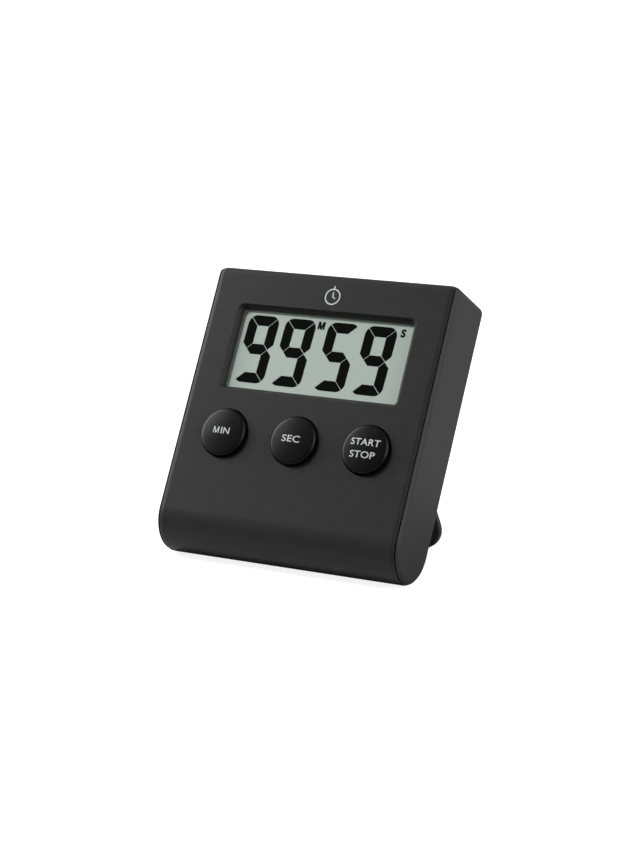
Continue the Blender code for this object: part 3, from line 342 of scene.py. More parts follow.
def makeWearGroup():
    # rubbed edges: where a rounded copy of the normal leaves the true one, broken up by noise
    group, start, end = nodeGroup("rubbedEdges", {"Reach": 0.0003, "Amount": 0.5}, ("Mask",))
    rounded = addNode(group, "ShaderNodeBevel", {"Radius": start.outputs["Reach"]}, samples=4).outputs[0]
    inputs = {0: rounded, 1: surfaceNormal(group)}
    same = addNode(group, "ShaderNodeVectorMath", inputs, operation="DOT_PRODUCT").outputs["Value"]
    apart = mathNode(group, "SUBTRACT", 1.0, same)
    edge = mathNode(group, "MULTIPLY", apart, effects["edgeGain"], clamp=True)
    inputs = {"Vector": objectPlace(group), "Scale": effects["patchScale"], "Detail": 3.0}
    broken = mathNode(group, "MULTIPLY", edge, addNode(group, "ShaderNodeTexNoise", inputs).outputs[0])
    fill(group, end, {"Mask": mathNode(group, "MULTIPLY", broken, start.outputs["Amount"], clamp=True)})
    return group


def makeDustGroup():
    # a trace of dust on what faces up, in specks
    group, start, end = nodeGroup("settledDust", {"Amount": 0.05}, ("Mask",))
    up = addNode(group, "ShaderNodeSeparateXYZ", {0: surfaceNormal(group)}).outputs["Z"]
    inputs = {"Vector": objectPlace(group), "Scale": effects["speckScale"], "Detail": 5.0}
    specks = addNode(group, "ShaderNodeTexNoise", inputs).outputs[0]
    specks = mathNode(group, "SUBTRACT", specks, effects["speckStart"])
    specks = mathNode(group, "MULTIPLY", specks, effects["speckGain"], clamp=True)
    facing = mathNode(group, "POWER", mathNode(group, "MAXIMUM", up, 0.0), 2.0)
    settled = mathNode(group, "MULTIPLY", facing, specks)
    fill(group, end, {"Mask": mathNode(group, "MULTIPLY", settled, start.outputs["Amount"])})
    return group


grainGroup = makeGrainGroup()
wearGroup = makeWearGroup()
dustGroup = makeDustGroup()


def mixColors(tree, mask, first, second):
    node = addNode(tree, "ShaderNodeMix", {0: mask, 6: first, 7: second}, data_type="RGBA")
    return node.outputs[2]


def makeFinish(name, color, roughness, metallic=0.0, specular=0.5, cells=4000.0, mottle=300.0, relief=0.004,
               contrast=0.12, unevenness=0.06, wear=0.0, wornColor=None, dust=0.0, coat=0.0, pattern=None):
    # one finish: grain in the bump, uneven colour and roughness, rubbed edges and a trace of dust
    made = bpy.data.materials.new(name)
    made.use_nodes = True
    tree = made.node_tree
    shader = tree.nodes["Principled BSDF"]
    fill(tree, shader, {"Metallic": metallic, "Specular IOR Level": specular, "Coat Weight": coat,
                        "Coat Roughness": effects["coatRoughness"]})
    grain = addNode(tree, "ShaderNodeGroup", {"Cells": cells, "Mottle": mottle}, node_tree=grainGroup)
    mask = grain.outputs["Mask"]
    dark = tuple(value * (1 - contrast) for value in color) + (1.0,)
    light = tuple(value * (1 + contrast) for value in color) + (1.0,)
    tone = mixColors(tree, mask, dark, light)
    if pattern:
        tone = pattern(tree, tone)
    gloss = mathNode(tree, "MULTIPLY_ADD", mask, 2 * unevenness, roughness - unevenness)
    if wear:
        rubbed = addNode(tree, "ShaderNodeGroup", {"Amount": wear}, node_tree=wearGroup).outputs["Mask"]
        worn = tuple(wornColor or [value * effects["wornGain"] + effects["wornLift"] for value in color])
        tone = mixColors(tree, rubbed, tone, worn + (1.0,))
        gloss = mathNode(tree, "MULTIPLY_ADD", rubbed, effects["wornGloss"], gloss, clamp=True)
    if dust:
        settled = addNode(tree, "ShaderNodeGroup", {"Amount": dust}, node_tree=dustGroup).outputs["Mask"]
        tone = mixColors(tree, settled, tone, effects["dustColor"])
    inputs = {"Height": grain.outputs["Height"], "Distance": relief * millimetre}
    bump = addNode(tree, "ShaderNodeBump", inputs).outputs[0]
    fill(tree, shader, {"Base Color": tone, "Roughness": gloss, "Normal": bump})
    return made


def bandPattern(bands):
    # bands across x, each from its edge on, for a battery's printed jacket
    def paint(tree, tone):
        x = objectAxis(tree, "X")
        for edge, color in bands:
            beyond = mathNode(tree, "GREATER_THAN", x, edge * millimetre)
            tone = mixColors(tree, beyond, tone, color + (1.0,))
        return tone
    return paint


def tracePattern(tree, tone):
    # copper runs under the solder mask: the edges between the cells of a brick pattern
    inputs = {"Vector": objectPlace(tree), "Scale": 220.0, "Mortar Size": 0.03, "Brick Width": 1.4,
              "Row Height": 0.35}
    bricks = addNode(tree, "ShaderNodeTexBrick", inputs).outputs["Fac"]
    shade, coppery = 0.6, (0.10, 0.28, 0.07, 1.0)
    return mixColors(tree, mathNode(tree, "MULTIPLY", bricks, shade), tone, coppery)


cellBands = ((8.0, (0.62, 0.30, 0.10)), (21.9, (0.6, 0.6, 0.58)))  # where each band starts, and its colour

finishes = {
    "shell": makeFinish("charcoalShell", (0.0240, 0.0240, 0.0243), 0.46, specular=0.27, wear=0.25, dust=0.02,
                        relief=0.018, contrast=0.30),
    "button": makeFinish("blackButton", (0.0040, 0.0040, 0.0040), 0.36, specular=0.32, cells=5200.0,
                         relief=0.002, wear=0.1, dust=0.01),
    "label": makeFinish("paleLabelInk", (0.52, 0.53, 0.53), 0.55, contrast=0.05, relief=0.001),
    "film": makeFinish("displayFilm", (0.37, 0.43, 0.385), 0.42, specular=0.05, cells=9000.0, mottle=120.0,
                       contrast=0.02, relief=0.0006, unevenness=0.03),
    "segment": makeFinish("displaySegments", (0.0030, 0.0042, 0.0034), 0.42, specular=0.02, cells=9000.0,
                          contrast=0.05, relief=0.0006),
    "glass": makeFinish("displayGlass", (0.30, 0.34, 0.31), 0.12, cells=600.0, contrast=0.04, relief=0.0005),
    "rubber": makeFinish("greyRubber", (0.22, 0.22, 0.23), 0.72, cells=2500.0, contrast=0.1, dust=0.04),
    "carbon": makeFinish("carbonRubber", (0.015, 0.015, 0.016), 0.80, cells=3000.0, contrast=0.2),
    "holder": makeFinish("whiteHolder", (0.70, 0.70, 0.67), 0.50, cells=3000.0, contrast=0.03),
    "board": makeFinish("boardLaminate", (0.02, 0.13, 0.04), 0.38, cells=3500.0, coat=0.4,
                        pattern=tracePattern),
    "epoxy": makeFinish("blackEpoxy", (0.008, 0.008, 0.009), 0.30, cells=700.0, relief=0.01, contrast=0.15),
    "steel": makeFinish("platedSteel", (0.56, 0.56, 0.55), 0.28, metallic=1.0, cells=2200.0, contrast=0.08,
                        relief=0.002, unevenness=0.08, wear=0.3, wornColor=(0.75, 0.75, 0.74)),
    "screw": makeFinish("blackenedSteel", (0.16, 0.16, 0.165), 0.34, metallic=1.0, cells=2200.0,
                        relief=0.002, unevenness=0.08, wear=0.5, wornColor=(0.5, 0.5, 0.5)),
    "jacket": makeFinish("cellJacket", (0.012, 0.013, 0.015), 0.26, cells=1500.0, coat=0.5, relief=0.001,
                         contrast=0.06, pattern=bandPattern(cellBands)),
    "ferrite": makeFinish("coilFerrite", (0.05, 0.05, 0.052), 0.55, metallic=0.3, cells=2500.0, contrast=0.2),
    "brass": makeFinish("buzzerBrass", (0.62, 0.44, 0.17), 0.34, metallic=1.0, cells=1800.0, contrast=0.1),
    "ceramic": makeFinish("buzzerCeramic", (0.74, 0.71, 0.62), 0.6, cells=2600.0, contrast=0.06),
    "magnet": makeFinish("magnetNickel", (0.55, 0.54, 0.52), 0.24, metallic=1.0, cells=1600.0, contrast=0.06,
                         relief=0.0015, unevenness=0.09, wear=0.35, wornColor=(0.35, 0.34, 0.33), dust=0.03),
    "redLead": makeFinish("redLead", (0.42, 0.015, 0.012), 0.42, cells=2000.0, contrast=0.08),
    "blackLead": makeFinish("blackLead", (0.015, 0.015, 0.015), 0.42, cells=2000.0, contrast=0.1),
}
print("finishes made")


def settle(piece, body, finish, hides=(), angle=35, weigh=True):
    # lays a finished piece into the world, hangs it on its body and hides the nodes it stands for
    piece.data.transform(worldMatrix())
    piece.data.materials.clear()
    piece.data.materials.append(finishes[finish])
    piece.data.shade_smooth()
    piece.data.set_sharp_from_angle(angle=math.radians(angle))
    if weigh:
        flat = piece.modifiers.new("flatFaces", "WEIGHTED_NORMAL")
        flat.keep_sharp = True
        flat.weight = 100
    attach(piece, body)
    if hides:
        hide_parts(*hides)
    return piece


# The case

def caseOutline(inset=0.0):
    # side view of the case: half circle below, two straight sides, a rounded corner at each top end
    top = case["length"] - inset
    nose = case["noseRadius"]
    back = max(case["backTopRadius"] - inset, case["fitGap"])
    front = max(case["frontTopRadius"] - inset, case["fitGap"])
    return np.concatenate((
        arcPoints((nose, nose), nose - inset, 180, 360, case["noseSteps"]),
        arcPoints((case["thickness"] - inset - back, top - back), back, 0, 90, case["cornerSteps"]),
        arcPoints((inset + front, top - front), front, 90, 180, case["cornerSteps"]),
    ))


def coverPath(inset, lip, steps):
    # the cover's skin in side view: from the end of the top lip, over the corner and down to under the nose
    nose = case["noseRadius"]
    corner = max(case["frontTopRadius"] - inset, case["fitGap"])
    top = case["length"] - inset
    return np.concatenate((
        [(lip, top)],
        arcPoints((inset + corner, top - corner), corner, 90, 180, case["cornerSteps"]),
        arcPoints((nose, nose), nose - inset, 180, 270, steps),
    ))


frontCover = {
    "half": coverHigh[0] - 0.25, "lip": 3.0,
    "edgeStart": case["halfWidth"] - case["sideEdge"], "edgeRadius": case["sideEdge"],
    "edgeLead": 0.4, "rim": 0.12, "stepStart": coverHigh[0] - 1.2, "stepWidth": 0.26, "stepDepth": 0.13,
    "windowHalf": 26.0, "windowTop": 10.0, "windowHeight": 23.55,
    "windowCorner": 1.25, "windowOuter": 0.6, "windowLeastCorner": 0.4, "windowEdge": 0.16,
    "windowWall": ((0.45, 0.17), (0.95, 0.78), (1.70, 0.96)),
    "holeRadius": 6.65, "holeEdge": 0.12, "buttonHeight": 30.5, "buttonSpacing": 20.6,
}


def coverInset(x):
    # how far the skin stands back near each side: a wide circle, a low step, then a small round rim
    sheet = frontCover
    past = np.maximum(np.abs(x) - sheet["edgeStart"], 0.0)
    shallow = sheet["edgeRadius"] - np.sqrt(sheet["edgeRadius"] ** 2 - past ** 2)
    share = np.clip((np.abs(x) - sheet["stepStart"]) / sheet["stepWidth"], 0.0, 1.0)
    step = sheet["stepDepth"] * share ** 2 * (3 - 2 * share)
    rim = np.clip(np.abs(x) - (sheet["half"] - sheet["rim"]), 0.0, sheet["rim"])
    return shallow + step + sheet["rim"] - np.sqrt(np.maximum(sheet["rim"] ** 2 - rim ** 2, 0.0))


def buildFrontCover():
    # the section is the skin and the same path one wall inside it, carried across the width in x
    sheet = frontCover
    edge = np.linspace(sheet["edgeStart"], sheet["half"] - sheet["rim"], 17)
    rim = sheet["half"] - sheet["rim"] * (1 - np.sin(np.linspace(0, np.pi / 2, 5)[1:]))
    half = np.concatenate(([sheet["edgeStart"] - sheet["edgeLead"]], edge, rim))
    stations = np.concatenate((-half[::-1], half))
    steps = case["noseSteps"] // 2
    inner = coverPath(case["frontWall"], sheet["lip"], steps)[::-1]
    rows = [np.concatenate((coverPath(inset, sheet["lip"], steps), inner)) for inset in coverInset(stations)]
    piece = toObject("frontCover", along(0, rows, stations))

    # the window's opening narrows with depth: a rounded lip, then each (depth, shrink) of its wall
    rounding = flare(sheet["windowEdge"])
    wall = [(-cutter["proud"], -rounding[0, 1])]
    wall += [(depth, -wide) for depth, wide in rounding]
    wall += list(sheet["windowWall"])
    depth, shrink = wall[-1]
    wall.append((depth + cutter["past"], shrink))
    top = case["length"] - sheet["windowTop"]
    bottom = top - sheet["windowHeight"]
    rows = []
    for depth, shrink in wall:
        shrink += sheet["windowEdge"] / 2
        corner = max(sheet["windowCorner"] + sheet["windowOuter"] - shrink, sheet["windowLeastCorner"])
        rows.append(roundedRectangle(sheet["windowHalf"] - shrink, bottom + shrink, top - shrink, corner))
    depths = [depth for depth, shrink in wall]
    combine(piece, along(1, rows, depths))

    rounding = flare(sheet["holeEdge"], 4)
    profile = [(-cutter["proud"], sheet["holeRadius"] + sheet["holeEdge"])]
    profile += [(depth, sheet["holeRadius"] + wide) for depth, wide in rounding]
    profile += [(case["frontWall"] + cutter["past"], sheet["holeRadius"])]
    spots = [(side * sheet["buttonSpacing"], sheet["buttonHeight"]) for side in (-1, 0, 1)]
    combine(piece, together([turned(spot, profile, 72) for spot in spots]))
    return settle(piece, "case", "shell", ["front_cover"])


buildFrontCover()
print("front cover made")

rearShell = {
    "grooveHalf": coverHigh[0] + 0.1, "recessHalf": 30.6, "recessDepth": 2.1, "recessTopGap": 0.3,
    "recessArch": 30, "backingHalf": 33.3, "backingDepth": 1.5, "backingTop": 2.7, "backingGap": 0.9,
    "backingStart": -52, "openEdge": 0.18,
    "holeEdge": 0.15, "wellHalf": 25.05, "wellHeight": (54.95, 66.05), "wellFloor": 6.15,
    "wellWall": 1.0, "wellCorner": 0.6, "wellEdge": 0.05, "doorDepth": 1.8, "doorCorner": 0.7,
    "ledgeHalf": 29.9, "ledgeDepth": 1.0, "ledgeMargin": 1.8, "notchHalf": 6.0, "notchRadius": 1.5,
    "soundHole": 0.7, "soundCircle": 3.7, "soundDepth": 3.5, "upperScrews": (30.0, 71.0),
    "lowerScrews": (22.0, 16.5), "screwHead": 2.1, "screwDepth": 1.6, "screwBoss": 2.55,
    "screwBossDepths": (3.0, 0.45), "magnetBoss": 7.8, "magnetBacking": 1.15, "magnetPocket": 6.15,
    "magnetGap": 0.15, "standPinHole": 0.85, "standPinReach": (-0.3, 1.2), "doorPinHole": 0.6,
    "doorPinReach": (-0.05, 1.4),
}
x, z = rearShell["upperScrews"]
caseScrews = [(side * x, z, case["thickness"]) for side in (-1, 1)]
x, z = rearShell["lowerScrews"]
caseScrews += [(side * x, z, case["thickness"] - rearShell["recessDepth"]) for side in (-1, 1)]


def pocketMouth(floor, surface, rounding):
    # the depths of a pocket, from its floor to past its rounded mouth, and how much wider it is at each
    lip = flare(rounding, 4)[::-1]
    return [floor, *(surface - lip[:, 0]), surface + cutter["proud"]], [0.0, *lip[:, 1], rounding]


def roundPocket(centre, radius, floor, surface, rounding, steps):
    levels, widening = pocketMouth(floor, surface, rounding)
    return turned(centre, [(level, radius + wide) for level, wide in zip(levels, widening)], steps)


def boxPocket(halfX, low, high, floor, corner, rounding):
    levels, widening = pocketMouth(floor, case["thickness"], rounding)
    rows = [roundedRectangle(halfX + wide, low - wide, high + wide, corner + wide, 5) for wide in widening]
    return along(1, rows, levels)


def recessSide():
    # side view of the stand's recess: round over the hinge, open towards the bottom end
    swing = case["thickness"] - standPivot[1] + rearShell["recessTopGap"]
    floor = case["thickness"] - rearShell["recessDepth"]
    arch = arcPoints(standPivot[1:], swing, rearShell["recessArch"], 180, 14)
    outside = case["thickness"] + cutter["outside"]
    below = -cutter["outside"]
    return np.concatenate(([(outside, arch[0, 1])], arch, [(floor, below), (outside, below)]))


def buildRearShell():
    # the whole case, less its inside and the cover's zone, plus its wells and bosses, less its openings; the
    # outline shrinks towards each side along a quarter circle
    sheet = rearShell
    back = case["thickness"]
    gap = case["fitGap"]
    rounding = np.radians(np.linspace(0, 90, 9))
    half = case["halfWidth"] - case["sideEdge"] * (1 - np.sin(rounding))
    insets = case["sideEdge"] * (1 - np.cos(rounding))
    stations = np.concatenate((-half[::-1], half))
    rows = [caseOutline(inset) for inset in np.concatenate((insets[::-1], insets))]
    piece = toObject("rearShell", along(0, rows, stations))

    inner = case["halfWidth"] - case["shellWall"]
    combine(piece, bar(caseOutline(case["shellWall"]), -inner, inner))

    # the front cover's zone: its inside face set back by the gap, and everything in front of it
    wall = case["frontWall"] + gap
    lip = frontCover["lip"] + gap
    nose = case["noseRadius"] + gap
    below = -cutter["outside"]
    above = case["length"] + cutter["outside"]
    outside = [(nose, wall), (nose, below), (below, below), (below, above), (lip, above)]
    zone = np.concatenate((coverPath(wall, lip, case["noseSteps"] // 2), outside))
    combine(piece, bar(zone, -sheet["grooveHalf"], sheet["grooveHalf"]))

    # material behind the stand's recess, round the battery well, under the door, the screws and the magnets
    skin = back - case["shellWall"] / 2
    deep = back - sheet["recessDepth"] - sheet["backingDepth"]
    top = standPivot[2] + sheet["backingTop"]
    nose = case["noseRadius"]
    backing = arcPoints((nose, nose), nose - sheet["backingGap"], sheet["backingStart"], 0, 12)
    backing = np.concatenate((backing, [(skin, top), (deep, top)]))
    combine(piece, bar(backing, -sheet["backingHalf"], sheet["backingHalf"]), "UNION")
    low, high = sheet["wellHeight"]
    wall = sheet["wellWall"]
    wide = sheet["wellHalf"] + wall
    combine(piece, block((-wide, sheet["wellFloor"] - wall, low - wall), (wide, skin, high + wall)), "UNION")
    doorFloor = back - sheet["doorDepth"]
    wide = sheet["ledgeHalf"]
    margin = sheet["ledgeMargin"]
    start = (-wide, doorFloor - sheet["ledgeDepth"], doorLow[2] - margin)
    combine(piece, block(start, (wide, skin, doorHigh[2] + margin)), "UNION")
    bosses = []
    for x, z, seat in caseScrews:
        profile = [(seat - depth, sheet["screwBoss"]) for depth in sheet["screwBossDepths"]]
        bosses.append(turned((x, z), profile, 32))
    for side in (-1, 1):
        profile = [(magnetLow[1] - sheet["magnetBacking"], sheet["magnetBoss"]), (skin, sheet["magnetBoss"])]
        bosses.append(turned((side * magnetX, magnetZ), profile))
    combine(piece, together(bosses), "UNION")

    half = sheet["recessHalf"]
    combine(piece, bar(recessSide(), -half, half))
    softenAt(piece, back, sheet["openEdge"])

    well = boxPocket(sheet["wellHalf"], low, high, sheet["wellFloor"], sheet["wellCorner"], sheet["wellEdge"])
    combine(piece, well)
    low, high = doorLow[2] - gap, doorHigh[2] + gap
    pocket = boxPocket(doorHalf + gap, low, high, doorFloor, sheet["doorCorner"], sheet["openEdge"])
    combine(piece, pocket)
    notch = roundSection((back, high), sheet["notchRadius"])
    combine(piece, bar(notch, -sheet["notchHalf"], sheet["notchHalf"]))

    holes = []
    edge = sheet["holeEdge"]
    angles = np.radians(np.arange(6) * 60)
    ring = np.stack((np.cos(angles), np.sin(angles)), -1) * sheet["soundCircle"]
    floor = back - sheet["soundDepth"]
    for x, z in np.concatenate(([(0.0, 0.0)], ring)):
        holes.append(roundPocket((x, magnetZ + z), sheet["soundHole"], floor, back, edge, 28))
    floor = magnetLow[1] - sheet["magnetGap"]
    for side in (-1, 1):
        holes.append(roundPocket((side * magnetX, magnetZ), sheet["magnetPocket"], floor, back, edge, 64))
    for x, z, seat in caseScrews:
        holes.append(roundPocket((x, z), sheet["screwHead"], seat - sheet["screwDepth"], seat, edge, 36))
    near, far = sheet["standPinReach"]
    holes += sidePins(standPivot[1:], sheet["standPinHole"], half + near, half + far)
    near, far = sheet["doorPinReach"]
    holes += sidePins(doorPivot[1:], sheet["doorPinHole"], doorHalf + near, doorHalf + far)
    combine(piece, together(holes))
    return settle(piece, "case", "shell", ["rear_shell"])


buildRearShell()
print("rear shell made")

# The stand and the battery door hang from their hinges

standPlate = {
    "half": 30.3, "thickness": 1.8, "corner": 11.0, "edge": 0.35, "pinRadius": 0.7,
    "pinReach": (-2.0, 1.2), "panelInset": 3.2, "panelTop": -4.5, "panelCorner": 8.0,
    "panelDepth": 0.25, "panelSlope": 0.4,
}


def buildStand():
    # one outline for each level of the plate's thickness: the edges are quarter circles, the top is the
    # hinge's barrel, and the foot is where that level meets the ground at rest
    sheet = standPlate
    edge = sheet["edge"]
    angle = -math.radians(jointOf["stand_fold"]["range_deg"][0])
    half = sheet["thickness"] / 2
    ground = casePoint((0.0, 0.0, 0.0)) - standPivot
    up = axes[:, 2]
    turn = np.array(((math.cos(angle), math.sin(angle)), (-math.sin(angle), math.cos(angle))))
    upOwn = turn @ up[1:]
    groundLevel = float(ground[1:] @ up[1:])
    angles = np.radians(np.linspace(-90, 90, 9))
    front = edge * (1 + np.sin(angles[:5])) - half
    back = half - edge * (1 - np.sin(angles[4:]))
    insets = edge * (1 - np.cos(np.concatenate((angles[:5], angles[4:]))))
    levels = np.concatenate((front, back))
    rows = []
    for level, inset in zip(levels, insets):
        foot = (groundLevel - upOwn[0] * level) / upOwn[1] + inset
        corner = sheet["corner"] - inset
        wide = sheet["half"] - inset
        top = math.sqrt(max(half ** 2 - level ** 2, 0.0))
        rows.append(np.concatenate((
            arcPoints((corner - wide, foot + corner), corner, 180, 270, 16),
            arcPoints((wide - corner, foot + corner), corner, 270, 360, 16),
            [(wide, top), (-wide, top)],
        )))
    piece = toObject("standPlate", along(1, rows, levels))

    # a shallow sunk panel in the outer face, which is the last of the outlines
    panels = []
    for inset in (sheet["panelSlope"], 0.0):
        reach = sheet["panelInset"] + inset
        low, high = foot + reach, sheet["panelTop"] - inset
        panels.append(roundedRectangle(sheet["half"] - reach, low, high, sheet["panelCorner"] - inset, 12))
    depths = (half - sheet["panelDepth"], half, half + cutter["proud"])
    combine(piece, along(1, panels + panels[1:], depths))
    near, far = sheet["pinReach"]
    pins = sidePins((0.0, 0.0), sheet["pinRadius"], sheet["half"] + near, sheet["half"] + far)
    combine(piece, together(pins), "UNION")
    own = Matrix.Translation((0.0, standPivot[1], standPivot[2])) @ Matrix.Rotation(angle, 4, "X")
    piece.data.transform(own)
    return settle(piece, "stand", "shell", ["stand"])


buildStand()

batteryDoor = {
    "edge": 0.2, "corner": 0.5, "ribs": 4, "ribStart": 2.2, "ribStep": 1.1,
    "ribHalf": 5.0, "ribRadius": 0.3, "ribRise": 0.08, "pinRadius": 0.45, "pinReach": 1.1,
}


def buildDoor():
    # one outline for each level of the door's thickness: a round barrel below, a rounded outer edge above
    sheet = batteryDoor
    edge, corner = sheet["edge"], sheet["corner"]
    half = (doorHigh[1] - doorLow[1]) / 2
    barrel = half * np.sin(np.radians(np.linspace(-90, 60, 11)))
    outer = half - edge * (1 - np.sin(np.radians(np.linspace(0, 90, 6))))
    levels = np.unique(np.round(np.concatenate((barrel, outer)), 4))
    rows = []
    for level in levels:
        inset = edge - math.sqrt(max(edge ** 2 - max(level - half + edge, 0.0) ** 2, 0.0))
        bottom = doorPivot[2] - math.sqrt(max(half ** 2 - level ** 2, 0.0))
        rows.append(np.concatenate((
            [(inset - doorHalf, bottom), (doorHalf - inset, bottom)],
            arcPoints((doorHalf - corner, doorHigh[2] - corner), corner - inset, 0, 90, 6),
            arcPoints((corner - doorHalf, doorHigh[2] - corner), corner - inset, 90, 180, 6),
        )))
    piece = toObject("batteryDoor", along(1, rows, levels + doorPivot[1]))
    grooves = []
    for number in range(sheet["ribs"]):
        height = doorHigh[2] - sheet["ribStart"] - number * sheet["ribStep"]
        ring = roundSection((doorHigh[1] + sheet["ribRise"], height), sheet["ribRadius"])
        grooves.append(bar(ring, -sheet["ribHalf"], sheet["ribHalf"]))
    combine(piece, together(grooves))
    reach = sheet["pinReach"]
    pins = sidePins(doorPivot[1:], sheet["pinRadius"], doorHalf - reach, doorHalf + reach)
    combine(piece, together(pins), "UNION")
    return settle(piece, "battery_cover", "shell", ["battery_cover"])


buildDoor()
print("stand and door made")

# Buttons and their lettering

buttonCap = {
    "radius": 6.4, "proud": 1.85, "crown": 0.42, "firstRing": 0.02, "edge": 0.75,
    "flange": 0.9, "flangeFront": 1.85, "flangeBack": 2.65, "stem": 2.75, "letterHeight": 1.72,
    "letterRise": 0.03, "letterDepth": 0.05, "letterBold": 0.018,
    "words": {
        "min": [("M", -1.66, 0.25, 0.95), ("IN", 0.98, 0.25, 1.08)],
        "sec": [("SEC", -0.3, 0.25, 1.29)],
        "start_stop": [("START", 0.05, 1.65, 1.12), ("STOP", -0.12, -1.6, 1.18)],
    },
}


def crownDepth(distance):
    # the crown falls back with the square of the distance from the middle
    sheet = buttonCap
    return -sheet["proud"] + sheet["crown"] * (distance / (sheet["radius"] - sheet["edge"])) ** 2


def capProfile():
    # (y, radius) from the middle of the crown over the rounded edge, down the side to the flange and the stem
    sheet = buttonCap
    flatRadius = sheet["radius"] - sheet["edge"]
    spans = flatRadius * np.linspace(sheet["firstRing"], 1.0, 12)
    crown = np.stack((crownDepth(spans), spans), -1)
    slope = math.atan(2 * sheet["crown"] / flatRadius)
    angles = np.linspace(slope, np.pi / 2, 10)[1:]
    shoulder = crown[-1, 0] + sheet["edge"] * math.cos(slope)
    reach = flatRadius - sheet["edge"] * math.sin(slope)
    rim = np.stack((shoulder - sheet["edge"] * np.cos(angles), reach + sheet["edge"] * np.sin(angles)), -1)
    side = rim[-1, 1]
    rest = [
        (sheet["flangeFront"], side),
        (sheet["flangeFront"], sheet["radius"] + sheet["flange"]),
        (sheet["flangeBack"], sheet["radius"] + sheet["flange"]),
        (sheet["flangeBack"], sheet["stem"]),
    ]
    return np.concatenate((crown, rim, rest))


letterCut = {
    "capitalShare": 0.694,  # a capital's height as a share of the face's size
    "spacing": 1.02,
    "smoothness": 4,
    "stroke": 0.22,
    "slantRun": 0.7,        # where an M's slants start, meet and leave its stems, in strokes
    "slantMeet": 0.6,
    "slantLeave": 1.5,
    "slantTop": 1.3,
}


def letterM(height, stroke, wide):
    # two stems, and two slanting strokes that meet on the base line
    sheet = letterCut
    h, w, t = height / 2, height * wide / 2, stroke
    slope = 2 * h / (w - sheet["slantRun"] * t)
    notch = sheet["slantMeet"] * t * slope - h
    inner = slope * (w - sheet["slantLeave"] * t) - h
    top = w - sheet["slantTop"] * t
    half = np.array([(t / 2, -h), (w - t, inner), (w - t, -h), (w, -h), (w, h), (top, h)])
    outline = np.concatenate((half, [(0, notch)], half[::-1] * (-1, 1)))
    return outline, [list(range(len(outline)))]


def letterShape(word, height, wide, bold):
    # a word set in the built-in face, as flat points and faces
    curve = bpy.data.curves.new("word", "FONT")
    curve.body = word
    curve.size = height / letterCut["capitalShare"]
    curve.offset = bold
    curve.space_character = letterCut["spacing"]
    curve.resolution_u = letterCut["smoothness"]
    helper = newObject("word", curve)
    bpy.context.view_layer.update()
    mesh = bpy.data.meshes.new_from_object(helper.evaluated_get(bpy.context.evaluated_depsgraph_get()))
    flat = np.empty(3 * len(mesh.vertices))
    mesh.vertices.foreach_get("co", flat)
    bpy.data.objects.remove(helper)
    return flat.reshape(-1, 3)[:, :2] * (wide, 1.0), [list(face.vertices) for face in mesh.polygons]


def lettering(name, words, depthAt, slant=0.0, bold=0.0, stroke=letterCut["stroke"]):
    # words centred on their places, stood on a surface whose depth depends on the place
    pieces = []
    for word, x, z, height, wide in words:
        if word == "M":
            flat, faces = letterM(height, stroke, wide)
        else:
            flat, faces = letterShape(word, height, wide, bold)
        flat = flat - (flat.min(0) + flat.max(0)) / 2
        spread = np.stack((x + flat[:, 0] + slant * flat[:, 1], z + flat[:, 1]), -1)
        pieces.append((np.stack((spread[:, 0], depthAt(spread), spread[:, 1]), -1), faces))
    made = toObject(name, together(pieces))
    work = bmesh.new()
    work.from_mesh(made.data)
    bmesh.ops.remove_doubles(work, verts=work.verts, dist=weld["letters"])
    for face in work.faces:  # each looks out of the surface that it stands on
        if face.normal.y > 0:
            face.normal_flip()
    work.to_mesh(made.data)
    work.free()
    return made


def thicken(piece, depth):
    sheet = piece.modifiers.new("ink", "SOLIDIFY")
    sheet.thickness = depth
    sheet.offset = -1.0
    bake(piece)


def buildButtons():
    profile = capProfile()
    height = frontCover["buttonHeight"]
    for index, (key, words) in enumerate(buttonCap["words"].items()):
        x = (index - 1) * frontCover["buttonSpacing"]
        body = f"button_{key}"
        cap = toObject(f"cap_{key}", turned((x, height), profile, 96))
        settle(cap, body, "button", [body], weigh=False)

        def onCrown(places, centre=(x, height)):
            return crownDepth(np.linalg.norm(places - centre, axis=1)) - buttonCap["letterRise"]

        laid = [(word, x + dx, height + dz, buttonCap["letterHeight"], wide) for word, dx, dz, wide in words]
        letters = lettering(f"letters_{key}", laid, onCrown, bold=buttonCap["letterBold"])
        thicken(letters, buttonCap["letterDepth"])
        settle(letters, body, "label", weigh=False)


buildButtons()
print("buttons made")

# The display

display = {
    "edge": 0.05, "digitHalfWidth": 4.50, "digitHalfHeight": 9.25, "stroke": 2.8, "gap": 0.17,
    "corner": 2.4, "slant": 0.03, "middle": 54.40, "places": (-18.68, -7.78, 4.80, 15.69),
    "shown": "9959", "rise": 0.03, "overlap": 0.01, "filmCorner": 0.4,
    "marks": [("M", -1.5, 62.4, 2.1, 0.95), ("S", 22.05, 62.4, 1.95, 1.0)],
    "markBold": 0.13, "markStroke": 0.48, "markDepth": 0.04,
}
litBars = {"9": "abcdfg", "5": "acdfg"}


